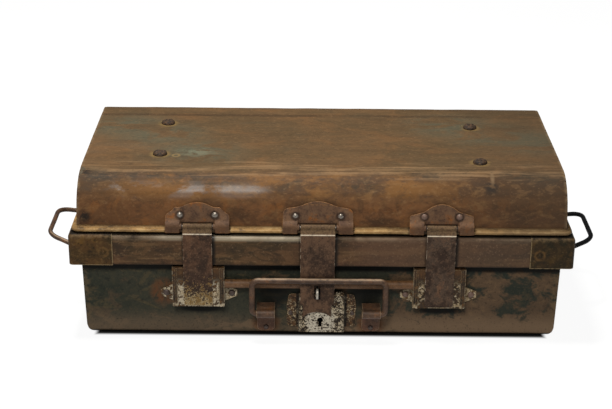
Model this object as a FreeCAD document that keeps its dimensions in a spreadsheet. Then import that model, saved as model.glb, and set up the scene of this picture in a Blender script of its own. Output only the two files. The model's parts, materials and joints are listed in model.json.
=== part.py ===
import FreeCAD, Part
import math
import os
import Sketcher

# Sizes of the trunk in millimetres and degrees. +X is to the viewer's right, +Y to the back, +Z up.
SIZES = {
    # tub
    "sheet": 1.0,
    "body_length": 702.0,
    "body_depth": 342.0,
    "collar_rise": 6.0,
    "body_taper": 4.5,
    "bottom_radius": 8.0,
    "seam_lip": 1.5,
    "seam_gap": 0.25,
    "end_flange": 9.0,
    # rim band around the tub
    "rim_overhang": 13.8,
    "rim_top": 165.0,
    "rim_height": 47.0,
    "rim_sheet": 1.2,
    "rim_radius": 6.0,
    "rim_hem": 4.0,
    "rim_leg": 16.0,
    "cap_length": 64.0,
    "cap_sheet": 1.2,
    "cap_ledge": 9.0,
    "cap_rivet_in": 13.5,
    "cap_rivet_down": 26.5,
    # lid
    "lid_wall_rise": 31.7,
    "lid_clearance": 2.0,
    "lid_radius": 45.0,
    "lid_taper": 3.5,
    "bead_wire": 6.5,
    "bead_reach": 4.75,
    "bead_gap": 0.3,
    "brim_over": 0.3,
    "brim_thick": 1.2,
    "bead_leg": 9.0,
    "bead_leg_play": 0.5,
    "bead_corner": 9.0,
    "lid_open": 105.0,
    # studs on the lid's top
    "stud_radius": 10.5,
    "stud_rise": 6.0,
    "stud_shank": 3.0,
    "stud_left": -240.0,
    "stud_right": 232.0,
    "stud_left_back": 58.0,
    "stud_left_front": -78.0,
    "stud_right_back": 48.0,
    "stud_right_front": -103.0,
    # rivets
    "rivet_head": 3.6,
    "rivet_rise": 2.2,
    "rivet_shank": 1.6,
    "rivet_tail": 2.6,
    "rivet_tail_thick": 0.8,
    "hole_play": 0.1,
    # hasps and the plates they hang on
    "hardware_shift": -3.25,
    "hasp_pitch": 175.75,
    "hasp_shift": -5.5,
    "hasp_thick": 2.0,
    "hasp_gap": 1.5,
    "hasp_side_wide": 42.0,
    "hasp_mid_wide": 50.0,
    "hasp_side_end": 55.0,
    "hasp_mid_end": 38.0,
    "hasp_mid_tip_wide": 42.0,
    "hasp_mid_notch_up": 57.0,
    "hasp_arch_radius": 30.0,
    "hasp_arch_top": 45.6,
    "hasp_bend_down": 8.5,
    "hasp_corner": 4.0,
    "slot_wide": 7.6,
    "slot_low": 68.6,
    "slot_high": 87.0,
    "axis_out": 6.5,
    "axis_up": 4.5,
    "knuckle": 4.5,
    "pin": 2.0,
    "pin_play": 0.05,
    "side_play": 0.4,
    "plate_thick": 1.5,
    "plate_mid_wide": 102.0,
    "plate_side_wide": 93.0,
    "plate_low": -4.0,
    "knuckle_wide": 9.0,
    "web_rise": 12.0,
    "plate_shoulder": 25.0,
    "plate_brow": 28.0,
    "plate_mid_crown": 38.5,
    "plate_side_crown": 35.5,
    "plate_mid_rivet": 32.7,
    "plate_side_rivet": 25.3,
    "plate_rivet_up": 16.0,
    # side catches
    "catch_wide": 76.0,
    "catch_low": 52.5,
    "catch_high": 114.5,
    "catch_deep": 15.0,
    "catch_wall": 1.6,
    "catch_ear": 18.0,
    "catch_ear_mid": 68.6,
    "catch_ear_root": 13.0,
    "catch_ear_tip": 5.0,
    "catch_rivet_in": 8.0,
    "rib_wide": 3.0,
    "rib_rise": 1.2,
    "rib_inset": 4.0,
    # tube and bolts
    "tube_up": 86.6,
    "tube_out": 7.5,
    "tube_radius": 6.5,
    "tube_bore": 4.2,
    "bolt_radius": 4.0,
    "bolt_length": 105.0,
    "bolt_short": 5.5,
    "eye_thick": 5.0,
    "eye_hole": 4.8,
    "eye_radius": 6.8,
    "eye_slot_play": 1.2,
    # lock case
    "lock_shift": 1.0,
    "lock_wide": 74.0,
    "lock_low": 11.6,
    "lock_high": 72.6,
    "lock_ear": 15.0,
    "lock_ear_mid": 37.0,
    "lock_ear_root": 27.0,
    "lock_ear_tip": 9.0,
    "lock_rivet_in": 6.5,
    "key_up": 32.0,
    "key_radius": 3.2,
    "key_slot_wide": 3.0,
    "key_slot_low": 22.0,
    "scutcheon_wide": 34.0,
    "scutcheon_low": 15.0,
    "scutcheon_high": 44.6,
    "scutcheon_round": 14.0,
    "scutcheon_rise": 1.0,
    "lock_bolt_up": 59.0,
    "lock_bolt_radius": 3.0,
    "lock_bolt_length": 33.0,
    "lock_guide": 22.0,
    "lock_eye_hole": 3.8,
    "lock_eye_radius": 5.6,
    # padlock staple
    "staple_thick": 4.0,
    "staple_low": 69.8,
    "staple_high": 85.8,
    "staple_neck": 79.0,
    "staple_out": 13.0,
    "staple_root": 10.0,
    "staple_hole": 3.6,
    # front bail
    "bail_wire": 9.0,
    "bail_rise": 52.6,
    "bail_round": 9.0,
    "bail_turn": 7.0,
    "bail_pin": 31.0,
    "bail_axis_up": 46.0,
    "bail_axis_out": 23.5,
    "bail_lean": 1.2,
    "bracket_lock_gap": 12.3,
    "bracket_side_gap": 6.6,
    "bracket_wide": 26.4,
    "bracket_thick": 1.8,
    "bracket_play": 0.3,
    "bracket_drop": 39.0,
    "bracket_round": 7.0,
    "bracket_rivet_drop": 33.0,
    # end handles and their saddles
    "handle_wire": 7.0,
    "handle_axis_up": 88.0,
    "handle_half": 76.0,
    "handle_reach": 70.0,
    "handle_bar_half": 50.0,
    "handle_round": 14.0,
    "handle_turn": 8.0,
    "handle_pin": 28.0,
    "handle_tilt": 15.0,
    "saddle_play": 0.3,
    "saddle_thick": 1.5,
    "saddle_half": 18.0,
    "saddle_wide": 13.0,
    "saddle_mid": 56.0,
    "saddle_rivet": 12.0,
    # strap hinges at the back
    "hinge_pitch": 178.0,
    "hinge_wide": 44.0,
    "hinge_thick": 2.0,
    "hinge_axis_out": 4.2,
    "hinge_axis_up": 6.0,
    "hinge_knuckle": 4.2,
    "hinge_middle": 17.4,
    "hinge_tub_drop": 47.0,
    "hinge_lid_rise": 41.0,
    "hinge_over": 3.3,
    "hinge_rivet": 14.0,
    "hinge_tub_rivet_drop": 34.0,
    "hinge_lid_rivet_up": 26.0,
    "hinge_lug": 10.0,
    "hinge_lug_thick": 3.0,
}

doc = FreeCAD.newDocument("trunk")
sheet_obj = doc.addObject("Spreadsheet::Sheet", "dims")
for row, (alias, number) in enumerate(SIZES.items(), start=1):
    sheet_obj.set(f"A{row}", alias)
    sheet_obj.set(f"B{row}", str(number))
    sheet_obj.setAlias(f"B{row}", alias)
doc.recompute()


class Size:
    """A number together with the spreadsheet formula that yields it."""

    def __init__(self, value, formula):
        self.value = float(value)
        self.formula = formula

    def __add__(self, other):
        other = as_size(other)
        return Size(self.value + other.value, f"({self.formula} + {other.formula})")

    def __sub__(self, other):
        other = as_size(other)
        return Size(self.value - other.value, f"({self.formula} - {other.formula})")

    def __mul__(self, other):
        other = as_size(other)
        return Size(self.value * other.value, f"({self.formula} * {other.formula})")

    def __truediv__(self, other):
        other = as_size(other)
        return Size(self.value / other.value, f"({self.formula} / {other.formula})")

    def __radd__(self, other):
        return as_size(other) + self

    def __rsub__(self, other):
        return as_size(other) - self

    def __rmul__(self, other):
        return as_size(other) * self

    def __neg__(self):
        return Size(-self.value, f"(-1 * {self.formula})")


def as_size(number):
    """A plain number as a Size that no cell changes."""
    if isinstance(number, Size):
        return number
    return Size(number, f"({float(number):.6f})")


def slope(rise, run):
    """The angle in degrees whose tangent is rise over run."""
    degrees = math.degrees(math.atan2(rise.value, run.value))
    return Size(degrees, f"(atan({rise.formula} / {run.formula}) / 1 deg)")


class Cells:
    """Looks up a spreadsheet cell by its alias."""

    def __getattr__(self, alias):
        return Size(sheet_obj.get(alias), f"dims.{alias}")


d = Cells()


def new_body(label):
    """An empty body whose label names its file."""
    body = doc.addObject("PartDesign::Body", label)
    body.Label = label
    return body


def put(obj, x=0, y=0, z=0, axis=None, angle=0):
    """Places an object at bound coordinates, turned about one axis."""
    spot = [as_size(value) for value in (x, y, z)]
    turn = FreeCAD.Rotation()
    if axis is not None:
        turn = FreeCAD.Rotation(FreeCAD.Vector(*axis), as_size(angle).value)
    obj.Placement = FreeCAD.Placement(FreeCAD.Vector(*[s.value for s in spot]), turn)
    for name, value in zip("xyz", spot):
        obj.setExpression(f".Placement.Base.{name}", value.formula)


def new_sketch(body, name, plane, level=0, turn=0):
    """An empty sketch on one of the body's own planes, raised along its normal and turned in it."""
    sketch = body.newObject("Sketcher::SketchObject", name)
    origin = [item for item in body.Origin.OriginFeatures if item.Role == plane][0]
    sketch.AttachmentSupport = [(origin, "")]
    sketch.MapMode = "FlatFace"
    level = as_size(level)
    turn = as_size(turn)
    sketch.AttachmentOffset = FreeCAD.Placement(
        FreeCAD.Vector(0, 0, level.value), FreeCAD.Rotation(FreeCAD.Vector(0, 0, 1), turn.value)
    )
    sketch.setExpression(".AttachmentOffset.Base.z", level.formula)
    return sketch


def fix(sketch, kind, *refs):
    """A driving constraint whose last argument is a bound size."""
    size = as_size(refs[-1])
    index = sketch.addConstraint(Sketcher.Constraint(kind, *refs[:-1], size.value))
    sketch.setExpression(f"Constraints[{index}]", size.formula)


def pin_down(sketch, geometry, point, across, up):
    """Fixes a point of the sketch from the origin."""
    fix(sketch, "DistanceX", -1, 1, geometry, point, across)
    fix(sketch, "DistanceY", -1, 1, geometry, point, up)


def draw(sketch, corners, closed=True):
    """Adds a run of lines through corners (across, up); a third value rounds the corner."""
    count = len(corners)
    spots = [FreeCAD.Vector(as_size(c[0]).value, as_size(c[1]).value, 0) for c in corners]
    entries = list(spots)
    exits = list(spots)
    middles = [None] * count
    for i, corner in enumerate(corners):
        if len(corner) == 2:
            continue
        radius = as_size(corner[2]).value
        back = (spots[i - 1] - spots[i]).normalize()
        ahead = (spots[(i + 1) % count] - spots[i]).normalize()
        half = back.getAngle(ahead) / 2
        entries[i] = spots[i] + back * (radius / math.tan(half))
        exits[i] = spots[i] + ahead * (radius / math.tan(half))
        bisector = (back + ahead).normalize()
        middles[i] = spots[i] + bisector * (radius / math.sin(half) - radius)
    lines = {}
    for i in range(count if closed else count - 1):
        following = (i + 1) % count
        lines[i] = sketch.addGeometry(Part.LineSegment(exits[i], entries[following]))
    for i, corner in enumerate(corners):
        before = lines.get((i - 1) % count)
        after = lines.get(i)
        if middles[i] is None:
            line, point = (after, 1) if after is not None else (before, 2)
            pin_down(sketch, line, point, corner[0], corner[1])
            if before is not None and after is not None:
                sketch.addConstraint(Sketcher.Constraint("Coincident", before, 2, after, 1))
            continue
        arc = sketch.addGeometry(Part.Arc(entries[i], middles[i], exits[i]))
        first, last = 1, 2
        if sketch.getPoint(arc, 1).distanceToPoint(entries[i]) > 1e-4:
            first, last = 2, 1
        sketch.addConstraint(Sketcher.Constraint("Tangent", before, 2, arc, first))
        sketch.addConstraint(Sketcher.Constraint("Tangent", after, 1, arc, last))
        fix(sketch, "Radius", arc, corner[2])
        mark = sketch.addGeometry(Part.Point(spots[i]), True)
        pin_down(sketch, mark, 1, corner[0], corner[1])
        sketch.addConstraint(Sketcher.Constraint("PointOnObject", mark, 1, before))
        sketch.addConstraint(Sketcher.Constraint("PointOnObject", mark, 1, after))
    return sketch


def circle(sketch, across, up, radius):
    """Adds a circle at a fixed centre."""
    centre = FreeCAD.Vector(as_size(across).value, as_size(up).value, 0)
    ring = Part.Circle(centre, FreeCAD.Vector(0, 0, 1), as_size(radius).value)
    index = sketch.addGeometry(ring)
    pin_down(sketch, index, 3, across, up)
    fix(sketch, "Radius", index, radius)
    return sketch


def rectangle(sketch, left, right, low, high):
    """Adds a rectangle between two heights."""
    return draw(sketch, [(left, low), (right, low), (right, high), (left, high)])


def pad(body, sketch, length, both=False, reverse=False):
    """Raises a sketch; both spreads the length to the two sides of its plane."""
    feature = body.newObject("PartDesign::Pad", f"{sketch.Name}_pad")
    feature.Profile = sketch
    feature.Length = as_size(length).value
    feature.setExpression("Length", as_size(length).formula)
    feature.SideType = "Symmetric" if both else "One side"
    feature.Reversed = reverse
    return feature


def pocket(body, sketch, length, both=False, reverse=False):
    """Cuts a sketch into the body."""
    feature = body.newObject("PartDesign::Pocket", f"{sketch.Name}_cut")
    feature.Profile = sketch
    feature.Length = as_size(length).value
    feature.setExpression("Length", as_size(length).formula)
    feature.SideType = "Symmetric" if both else "One side"
    feature.Reversed = reverse
    return feature


def sweep(body, profile, path):
    """Runs a profile sketch along a path sketch."""
    feature = body.newObject("PartDesign::AdditivePipe", f"{path.Name}_run")
    feature.Profile = profile
    feature.Spine = path
    feature.Mode = "Frenet"
    return feature


def round_edges(body, radius, wanted):
    """Rounds those edges of the body's tip whose middle the test accepts."""
    doc.recompute()
    base = body.Tip
    names = []
    for number, edge in enumerate(base.Shape.Edges, start=1):
        ends = edge.ParameterRange
        if wanted(edge, edge.valueAt((ends[0] + ends[1]) / 2)):
            names.append(f"Edge{number}")
    feature = body.newObject("PartDesign::Fillet", f"{body.Name}_round")
    feature.Base = (base, names)
    feature.Radius = as_size(radius).value
    feature.setExpression("Radius", as_size(radius).formula)
    return feature


def along(edge, axis):
    """True for a straight edge that runs along one axis."""
    if edge.Curve.TypeId != "Part::GeomLine":
        return False
    return abs(abs(edge.Curve.Direction[axis]) - 1) < 1e-6


NORMALS = {
    "front": FreeCAD.Vector(0, -1, 0),
    "back": FreeCAD.Vector(0, 1, 0),
    "left": FreeCAD.Vector(-1, 0, 0),
    "right": FreeCAD.Vector(1, 0, 0),
    "up": FreeCAD.Vector(0, 0, 1),
}


def offset_place(obj, spot, normal, distance):
    """Places an object at a distance from a spot, its own Z axis along the normal."""
    values = [as_size(s) + as_size(distance) * n for s, n in zip(spot, normal)]
    put(obj, *values)
    turn = FreeCAD.Rotation(FreeCAD.Vector(0, 0, 1), normal)
    obj.Placement = FreeCAD.Placement(obj.Placement.Base, turn)


def rivet(spot, normal, grip, head=d.rivet_head, rise=d.rivet_rise, shank=d.rivet_shank, tail=d.rivet_tail):
    """A domed rivet: head on the spot, shank through the grip, flat tail behind."""
    ball = (head * head + rise * rise) / (2 * rise)
    drop = ball - rise
    dome = doc.addObject("Part::Sphere", "dome")
    dome.Radius = ball.value
    dome.setExpression("Radius", ball.formula)
    dome.Angle1 = math.degrees(math.asin(drop.value / ball.value))
    dome.setExpression("Angle1", f"asin({drop.formula} / {ball.formula})")
    offset_place(dome, spot, normal, -drop)
    stem = doc.addObject("Part::Cylinder", "stem")
    stem.setExpression("Radius", shank.formula)
    length = grip + d.rivet_tail_thick / 2 + rise / 4
    stem.setExpression("Height", length.formula)
    offset_place(stem, spot, normal, -(grip + d.rivet_tail_thick / 2))
    disc = doc.addObject("Part::Cylinder", "disc")
    disc.setExpression("Radius", tail.formula)
    disc.setExpression("Height", d.rivet_tail_thick.formula)
    offset_place(disc, spot, normal, -(grip + d.rivet_tail_thick))
    return [dome, stem, disc]


def group(label, pieces):
    """One node of separate solids, each fused from the pieces that touch."""
    fused = doc.addObject("Part::MultiFuse", label)
    fused.Label = label
    fused.Shapes = pieces
    return fused


def bar(spot, axis, radius, length):
    """A round bar centred on a spot."""
    rod = doc.addObject("Part::Cylinder", "bar")
    rod.setExpression("Radius", as_size(radius).formula)
    rod.setExpression("Height", as_size(length).formula)
    offset_place(rod, spot, axis, -(as_size(length) / 2))
    return rod


def sorted_pair(first, second):
    """Two sizes, the smaller first."""
    if first.value < second.value:
        return first, second
    return second, first


nodes = []
SIDES = {"left": -1, "right": 1}
RIVET_HOLE = d.rivet_shank + d.hole_play

# Planes that several pieces share
wall = d.body_depth / 2
half_length = d.body_length / 2
rim_face = wall + d.rim_overhang
rim_end = half_length + d.rim_overhang
lid_wall = wall + d.lid_clearance + d.sheet
lid_half = half_length + d.lid_clearance + d.sheet
body_top = d.rim_top + d.collar_rise
bead_up = d.rim_top + d.cap_sheet + d.bead_gap + d.bead_wire / 2
lid_skirt = bead_up + d.bead_wire / 2 + d.brim_over
lid_top = lid_skirt + d.lid_wall_rise + d.lid_radius
axis_y = -(lid_wall + d.axis_out)
axis_z = lid_skirt + d.axis_up
hasp_back = -(rim_face + d.hasp_gap)
side_x = {"left": d.hardware_shift - d.hasp_pitch, "right": d.hardware_shift + d.hasp_pitch}
box_front = -(wall + d.catch_deep)
tube_y = -(wall + d.tube_out)

# Places of the rivets that go through the tub's front wall, as (x, z)
catch_reach = d.catch_wide / 2 + d.catch_ear - d.catch_rivet_in
lock_reach = d.lock_wide / 2 + d.lock_ear - d.lock_rivet_in
catch_spots = [(side_x[s] + k * catch_reach, d.catch_ear_mid) for s in SIDES for k in (-1, 1)]
lock_spots = [(d.lock_shift + k * lock_reach, d.lock_ear_mid) for k in (-1, 1)]
bracket_mid = d.lock_wide / 2 + d.lock_ear + d.bracket_lock_gap + d.bracket_wide / 2
bail_half = bracket_mid + d.bracket_wide / 2 + d.bracket_side_gap
bracket_x = {s: d.hardware_shift + k * bracket_mid for s, k in SIDES.items()}
bracket_spots = [(bracket_x[s], d.bail_axis_up - d.bracket_rivet_drop) for s in SIDES]
front_spots = catch_spots + lock_spots + bracket_spots


def end_wedges(sketch, half, low_in, high_in, low, high):
    """Two slanted strips that trim a folded sheet to its sloping ends."""
    over = 20
    for k in (-1, 1):
        run = (high_in - low_in) / (high - low)
        draw(sketch, [
            (k * (half - low_in - run * (-over)), low - over),
            (k * (half + over), low - over),
            (k * (half + over), high + over),
            (k * (half - high_in - run * over), high + over),
        ])
    return sketch


# Tub: front, bottom and back from one sheet
body = new_body("body_wrapper")
inner = wall - d.sheet
inner_radius = d.bottom_radius - d.sheet
section = new_sketch(body, "tub_section", "YZ_Plane")
draw(section, [
    (-wall, body_top),
    (-wall, 0, d.bottom_radius),
    (wall, 0, d.bottom_radius),
    (wall, body_top),
    (inner, body_top),
    (inner, d.sheet, inner_radius),
    (-inner, d.sheet, inner_radius),
    (-inner, body_top),
])
pad(body, section, d.body_length + 10, both=True)
trim = new_sketch(body, "tub_ends", "XZ_Plane")
end_wedges(trim, half_length, d.body_taper, as_size(0), as_size(0), body_top)
pocket(body, trim, d.body_depth * 2, both=True)
holes = new_sketch(body, "tub_holes", "XZ_Plane")
for x, z in front_spots:
    circle(holes, x, z, RIVET_HOLE)
pocket(body, holes, d.body_depth, reverse=True)
nodes.append(body)

# Tub ends: flanged panels that lean outward to the top
lean = slope(d.body_taper, body_top)
panel_half = inner - d.seam_gap
panel_low = d.sheet + d.seam_gap
panel_radius = inner_radius - d.seam_gap
saddle_spots = [(j * d.saddle_mid, d.handle_axis_up + k * d.saddle_rivet) for j in (-1, 1) for k in (-1, 1)]


def panel_x(k):
    """The X place of a tub end panel's outer face at the bottom."""
    return k * (half_length - d.body_taper - d.seam_lip)


for side, k in SIDES.items():
    body = new_body(f"body_end_{side}")
    shape = new_sketch(body, "panel", "YZ_Plane")
    draw(shape, [
        (-panel_half, body_top),
        (-panel_half, panel_low, panel_radius),
        (panel_half, panel_low, panel_radius),
        (panel_half, body_top),
    ])
    pad(body, shape, d.sheet, reverse=k > 0)
    flange = new_sketch(body, "flange", "YZ_Plane")
    thin_half = panel_half - d.sheet
    draw(flange, [
        (-panel_half, body_top),
        (-panel_half, panel_low, panel_radius),
        (panel_half, panel_low, panel_radius),
        (panel_half, body_top),
        (thin_half, body_top),
        (thin_half, panel_low + d.sheet, panel_radius - d.sheet),
        (-thin_half, panel_low + d.sheet, panel_radius - d.sheet),
        (-thin_half, body_top),
    ])
    pad(body, flange, d.end_flange, reverse=k > 0)
    holes = new_sketch(body, "saddle_holes", "YZ_Plane")
    for y, z in saddle_spots:
        circle(holes, y, z, RIVET_HOLE)
    pocket(body, holes, d.sheet * 4, both=True)
    put(body, panel_x(k), 0, 0, (0, 1, 0), k * lean)
    nodes.append(body)

# Rim band: four hollow strips, open below
cap_rivet_z = d.rim_top - d.cap_rivet_down
cap_rivet_x = rim_end + d.cap_sheet - d.cap_length + d.cap_rivet_in
cap_rivet_y = rim_face + d.cap_sheet - d.cap_length + d.cap_rivet_in
hinge_rivet_z = d.rim_top + d.hinge_axis_up - d.hinge_tub_rivet_drop
hinge_x = {side: k * d.hinge_pitch for side, k in SIDES.items()}
hinge_spots = [(hinge_x[s] + j * d.hinge_rivet, hinge_rivet_z) for s in SIDES for j in (-1, 1)]


def rim_section(sketch, k, foot):
    """The strip's section: leg on the tub, ledge, rounded edge, face and hem."""
    face = foot + d.rim_overhang
    low = d.rim_top - d.rim_height
    under = d.rim_top - d.rim_sheet
    return draw(sketch, [
        (k * foot, d.rim_top),
        (k * face, d.rim_top, d.rim_radius),
        (k * face, low),
        (k * (face - d.rim_hem), low),
        (k * (face - d.rim_hem), low + d.rim_sheet),
        (k * (face - d.rim_sheet), low + d.rim_sheet),
        (k * (face - d.rim_sheet), under, d.rim_radius - d.rim_sheet),
        (k * (foot + d.rim_sheet), under),
        (k * (foot + d.rim_sheet), d.rim_top - d.rim_leg),
        (k * foot, d.rim_top - d.rim_leg),
    ])


for name, k in {"rim_front": -1, "rim_back": 1}.items():
    body = new_body(name)
    section = rim_section(new_sketch(body, "section", "YZ_Plane"), k, wall)
    pad(body, section, (rim_end - d.rim_radius) * 2, both=True)
    holes = new_sketch(body, "holes", "XZ_Plane", level=-k * (rim_face - d.rim_sheet / 2))
    for j in (-1, 1):
        circle(holes, j * cap_rivet_x, cap_rivet_z, RIVET_HOLE)
    if k > 0:
        for x, z in hinge_spots:
            circle(holes, x, z, RIVET_HOLE)
    pocket(body, holes, d.rim_sheet * 3, both=True)
    nodes.append(body)

for side, k in SIDES.items():
    body = new_body(f"rim_{side}")
    section = rim_section(new_sketch(body, "section", "XZ_Plane"), k, half_length)
    pad(body, section, d.body_depth, both=True)
    holes = new_sketch(body, "holes", "YZ_Plane", level=k * (rim_end - d.rim_sheet / 2))
    for j in (-1, 1):
        circle(holes, j * cap_rivet_y, cap_rivet_z, RIVET_HOLE)
    pocket(body, holes, d.rim_sheet * 3, both=True)
    nodes.append(body)

# Corner caps of the band: bent shells over face, end and rounded edge
cap_low = d.rim_top - d.rim_height


def corner_block(label, kx, ky, thick, radius, drop):
    """The band's corner as a block, grown by a thickness, its two upper outer edges rounded."""
    body = new_body(label)
    out_x = rim_end + thick
    out_y = rim_face + thick
    in_x = rim_end + d.cap_sheet - d.cap_length
    in_y = rim_face + d.cap_sheet - d.cap_length
    plan = new_sketch(body, "plan", "XY_Plane", level=cap_low - drop)
    draw(plan, [
        (kx * out_x, ky * out_y),
        (kx * (in_x - drop), ky * out_y),
        (kx * (in_x - drop), ky * (in_y - drop)),
        (kx * out_x, ky * (in_y - drop)),
    ])
    pad(body, plan, d.rim_top + thick - cap_low + drop)

    def upper_outer(edge, middle):
        if abs(middle.z - (d.rim_top + thick).value) > 1e-4:
            return False
        return abs(abs(middle.x) - out_x.value) < 1e-4 or abs(abs(middle.y) - out_y.value) < 1e-4

    round_edges(body, radius, upper_outer)
    return body


cap_rivets = []
for row, ky in {"front": -1, "back": 1}.items():
    for side, kx in SIDES.items():
        label = f"rim_cap_{row}_{side}"
        outer = corner_block(f"{label}_skin", kx, ky, d.cap_sheet, d.rim_radius + d.cap_sheet, 0)
        window = new_sketch(outer, "window", "XY_Plane")
        keep_x = rim_end - d.cap_ledge
        keep_y = rim_face - d.cap_ledge
        rectangle(window, *sorted_pair(kx * keep_x, kx * (keep_x - d.cap_length * 2)),
                  *sorted_pair(ky * keep_y, ky * (keep_y - d.cap_length * 2)))
        pocket(outer, window, lid_top * 2, both=True)
        drill = new_sketch(outer, "front_hole", "XZ_Plane", level=-ky * rim_face)
        circle(drill, kx * cap_rivet_x, cap_rivet_z, RIVET_HOLE)
        pocket(outer, drill, d.cap_sheet * 4, both=True)
        drill = new_sketch(outer, "end_hole", "YZ_Plane", level=kx * rim_end)
        circle(drill, ky * cap_rivet_y, cap_rivet_z, RIVET_HOLE)
        pocket(outer, drill, d.cap_sheet * 4, both=True)
        core = corner_block(f"{label}_core", kx, ky, as_size(0), d.rim_radius, 5)
        cap = doc.addObject("Part::Cut", label)
        cap.Label = label
        cap.Base = outer
        cap.Tool = core
        nodes.append(cap)
        grip = d.cap_sheet + d.rim_sheet
        face_spot = (kx * cap_rivet_x, ky * (rim_face + d.cap_sheet), cap_rivet_z)
        end_spot = (kx * (rim_end + d.cap_sheet), ky * cap_rivet_y, cap_rivet_z)
        cap_rivets += rivet(face_spot, NORMALS[row], grip)
        cap_rivets += rivet(end_spot, NORMALS[side], grip)
nodes.append(group("rim_cap_rivets", cap_rivets))

# Side catches: riveted plates with pointed ears and a hollow box, open to the tub
catch_rivets = []
for side, k in SIDES.items():
    body = new_body(f"catch_{side}")
    half = d.catch_wide / 2
    ear = new_sketch(body, "ears", "XZ_Plane")
    root = d.catch_ear_root
    tip = d.catch_ear_tip
    mid = d.catch_ear_mid
    draw(ear, [
        (-half, d.catch_low), (half, d.catch_low), (half, mid - root), (half + d.catch_ear, mid - tip),
        (half + d.catch_ear, mid + tip), (half, mid + root), (half, d.catch_high), (-half, d.catch_high),
        (-half, mid + root), (-half - d.catch_ear, mid + tip), (-half - d.catch_ear, mid - tip),
        (-half, mid - root),
    ])
    pad(body, ear, d.plate_thick)
    box = new_sketch(body, "box", "XZ_Plane")
    rectangle(box, -half, half, d.catch_low, d.catch_high)
    pad(body, box, d.catch_deep)
    ribs = new_sketch(body, "ribs", "XZ_Plane", level=d.catch_deep)
    for j in (-1, 1):
        edges = sorted_pair(j * (half - d.rib_inset), j * (half - d.rib_inset - d.rib_wide))
        rectangle(ribs, *edges, d.catch_low, d.catch_high)
    pad(body, ribs, d.rib_rise)
    hollow = new_sketch(body, "hollow", "XZ_Plane")
    inside = half - d.catch_wall
    rectangle(hollow, -inside, inside, d.catch_low + d.catch_wall, d.catch_high - d.catch_wall)
    pocket(body, hollow, d.catch_deep - d.catch_wall, reverse=True)
    slot = new_sketch(body, "slot", "XZ_Plane", level=d.catch_deep)
    slot_half = d.eye_thick / 2 + d.eye_slot_play
    reach = d.eye_radius + d.eye_slot_play
    rectangle(slot, -slot_half, slot_half, d.tube_up - reach, d.tube_up + reach)
    pocket(body, slot, d.catch_wall * 4, both=True)
    seat = new_sketch(body, "seat", "YZ_Plane", level=-k * half)
    circle(seat, -d.tube_out, d.tube_up, d.tube_radius + d.hole_play)
    pocket(body, seat, d.catch_wall * 3, both=True)
    holes = new_sketch(body, "rivet_holes", "XZ_Plane")
    for j in (-1, 1):
        circle(holes, j * catch_reach, mid, RIVET_HOLE)
    pocket(body, holes, d.plate_thick * 4, both=True)
    put(body, side_x[side], -wall, 0)
    nodes.append(body)
for x, z in catch_spots:
    catch_rivets += rivet((x, -(wall + d.plate_thick), z), NORMALS["front"], d.plate_thick + d.sheet)
nodes.append(group("catch_rivets", catch_rivets))

# Tube between the catches
body = new_body("lock_tube")
ring = new_sketch(body, "ring", "YZ_Plane")
circle(ring, 0, 0, d.tube_radius)
circle(ring, 0, 0, d.tube_bore)
pad(body, ring, d.hasp_pitch * 2 - d.catch_wide + d.catch_wall * 3, both=True)
put(body, d.hardware_shift, tube_y, d.tube_up)
nodes.append(body)

# Lock case: hollow box with ears, keyhole, raised scutcheon and a guide for its bolt
body = new_body("lock_case")
half = d.lock_wide / 2
ear = new_sketch(body, "ears", "XZ_Plane")
mid = d.lock_ear_mid
draw(ear, [
    (-half, d.lock_low), (half, d.lock_low), (half + d.lock_ear, mid - d.lock_ear_tip),
    (half + d.lock_ear, mid + d.lock_ear_tip), (half, mid + d.lock_ear_root), (half, d.lock_high),
    (-half, d.lock_high), (-half, mid + d.lock_ear_root), (-half - d.lock_ear, mid + d.lock_ear_tip),
    (-half - d.lock_ear, mid - d.lock_ear_tip),
])
pad(body, ear, d.plate_thick)
box = new_sketch(body, "box", "XZ_Plane")
rectangle(box, -half, half, d.lock_low, d.lock_high)
pad(body, box, d.catch_deep)
shield = new_sketch(body, "scutcheon", "XZ_Plane", level=d.catch_deep)
shield_half = d.scutcheon_wide / 2
eye_x = d.hasp_shift - d.lock_shift
draw(shield, [
    (eye_x - shield_half, d.scutcheon_low),
    (eye_x + shield_half, d.scutcheon_low),
    (eye_x + shield_half, d.scutcheon_high, d.scutcheon_round),
    (eye_x - shield_half, d.scutcheon_high, d.scutcheon_round),
])
pad(body, shield, d.scutcheon_rise)
hollow = new_sketch(body, "hollow", "XZ_Plane")
inside = half - d.catch_wall
rectangle(hollow, -inside, inside, d.lock_low + d.catch_wall, d.lock_high - d.catch_wall)
pocket(body, hollow, d.catch_deep - d.catch_wall, reverse=True)
guide = new_sketch(body, "guide", "YZ_Plane", level=inside)
guide_half = d.lock_bolt_radius + d.catch_wall * 2
guide_low = d.lock_bolt_up - guide_half
rectangle(guide, -d.catch_deep + d.catch_wall, -d.sheet / 2, guide_low, guide_low + guide_half * 2)
circle(guide, -d.tube_out, d.lock_bolt_up, d.lock_bolt_radius + d.bracket_play)
pad(body, guide, d.lock_guide, reverse=True)
slot = new_sketch(body, "slot", "XZ_Plane", level=d.catch_deep)
lock_reach_up = d.lock_eye_radius + d.eye_slot_play
slot_low = d.lock_bolt_up - lock_reach_up
rectangle(slot, eye_x - slot_half, eye_x + slot_half, slot_low, slot_low + lock_reach_up * 2)
pocket(body, slot, d.catch_wall * 4, both=True)
key = new_sketch(body, "keyhole", "XZ_Plane", level=d.catch_deep)
circle(key, 0, d.key_up, d.key_radius)
pocket(body, key, d.catch_wall * 4, both=True)
key = new_sketch(body, "key_slot", "XZ_Plane", level=d.catch_deep)
rectangle(key, -d.key_slot_wide / 2, d.key_slot_wide / 2, d.key_slot_low, d.key_up)
pocket(body, key, d.catch_wall * 4, both=True)
holes = new_sketch(body, "rivet_holes", "XZ_Plane")
for j in (-1, 1):
    circle(holes, j * lock_reach, mid, RIVET_HOLE)
pocket(body, holes, d.plate_thick * 4, both=True)
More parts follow.
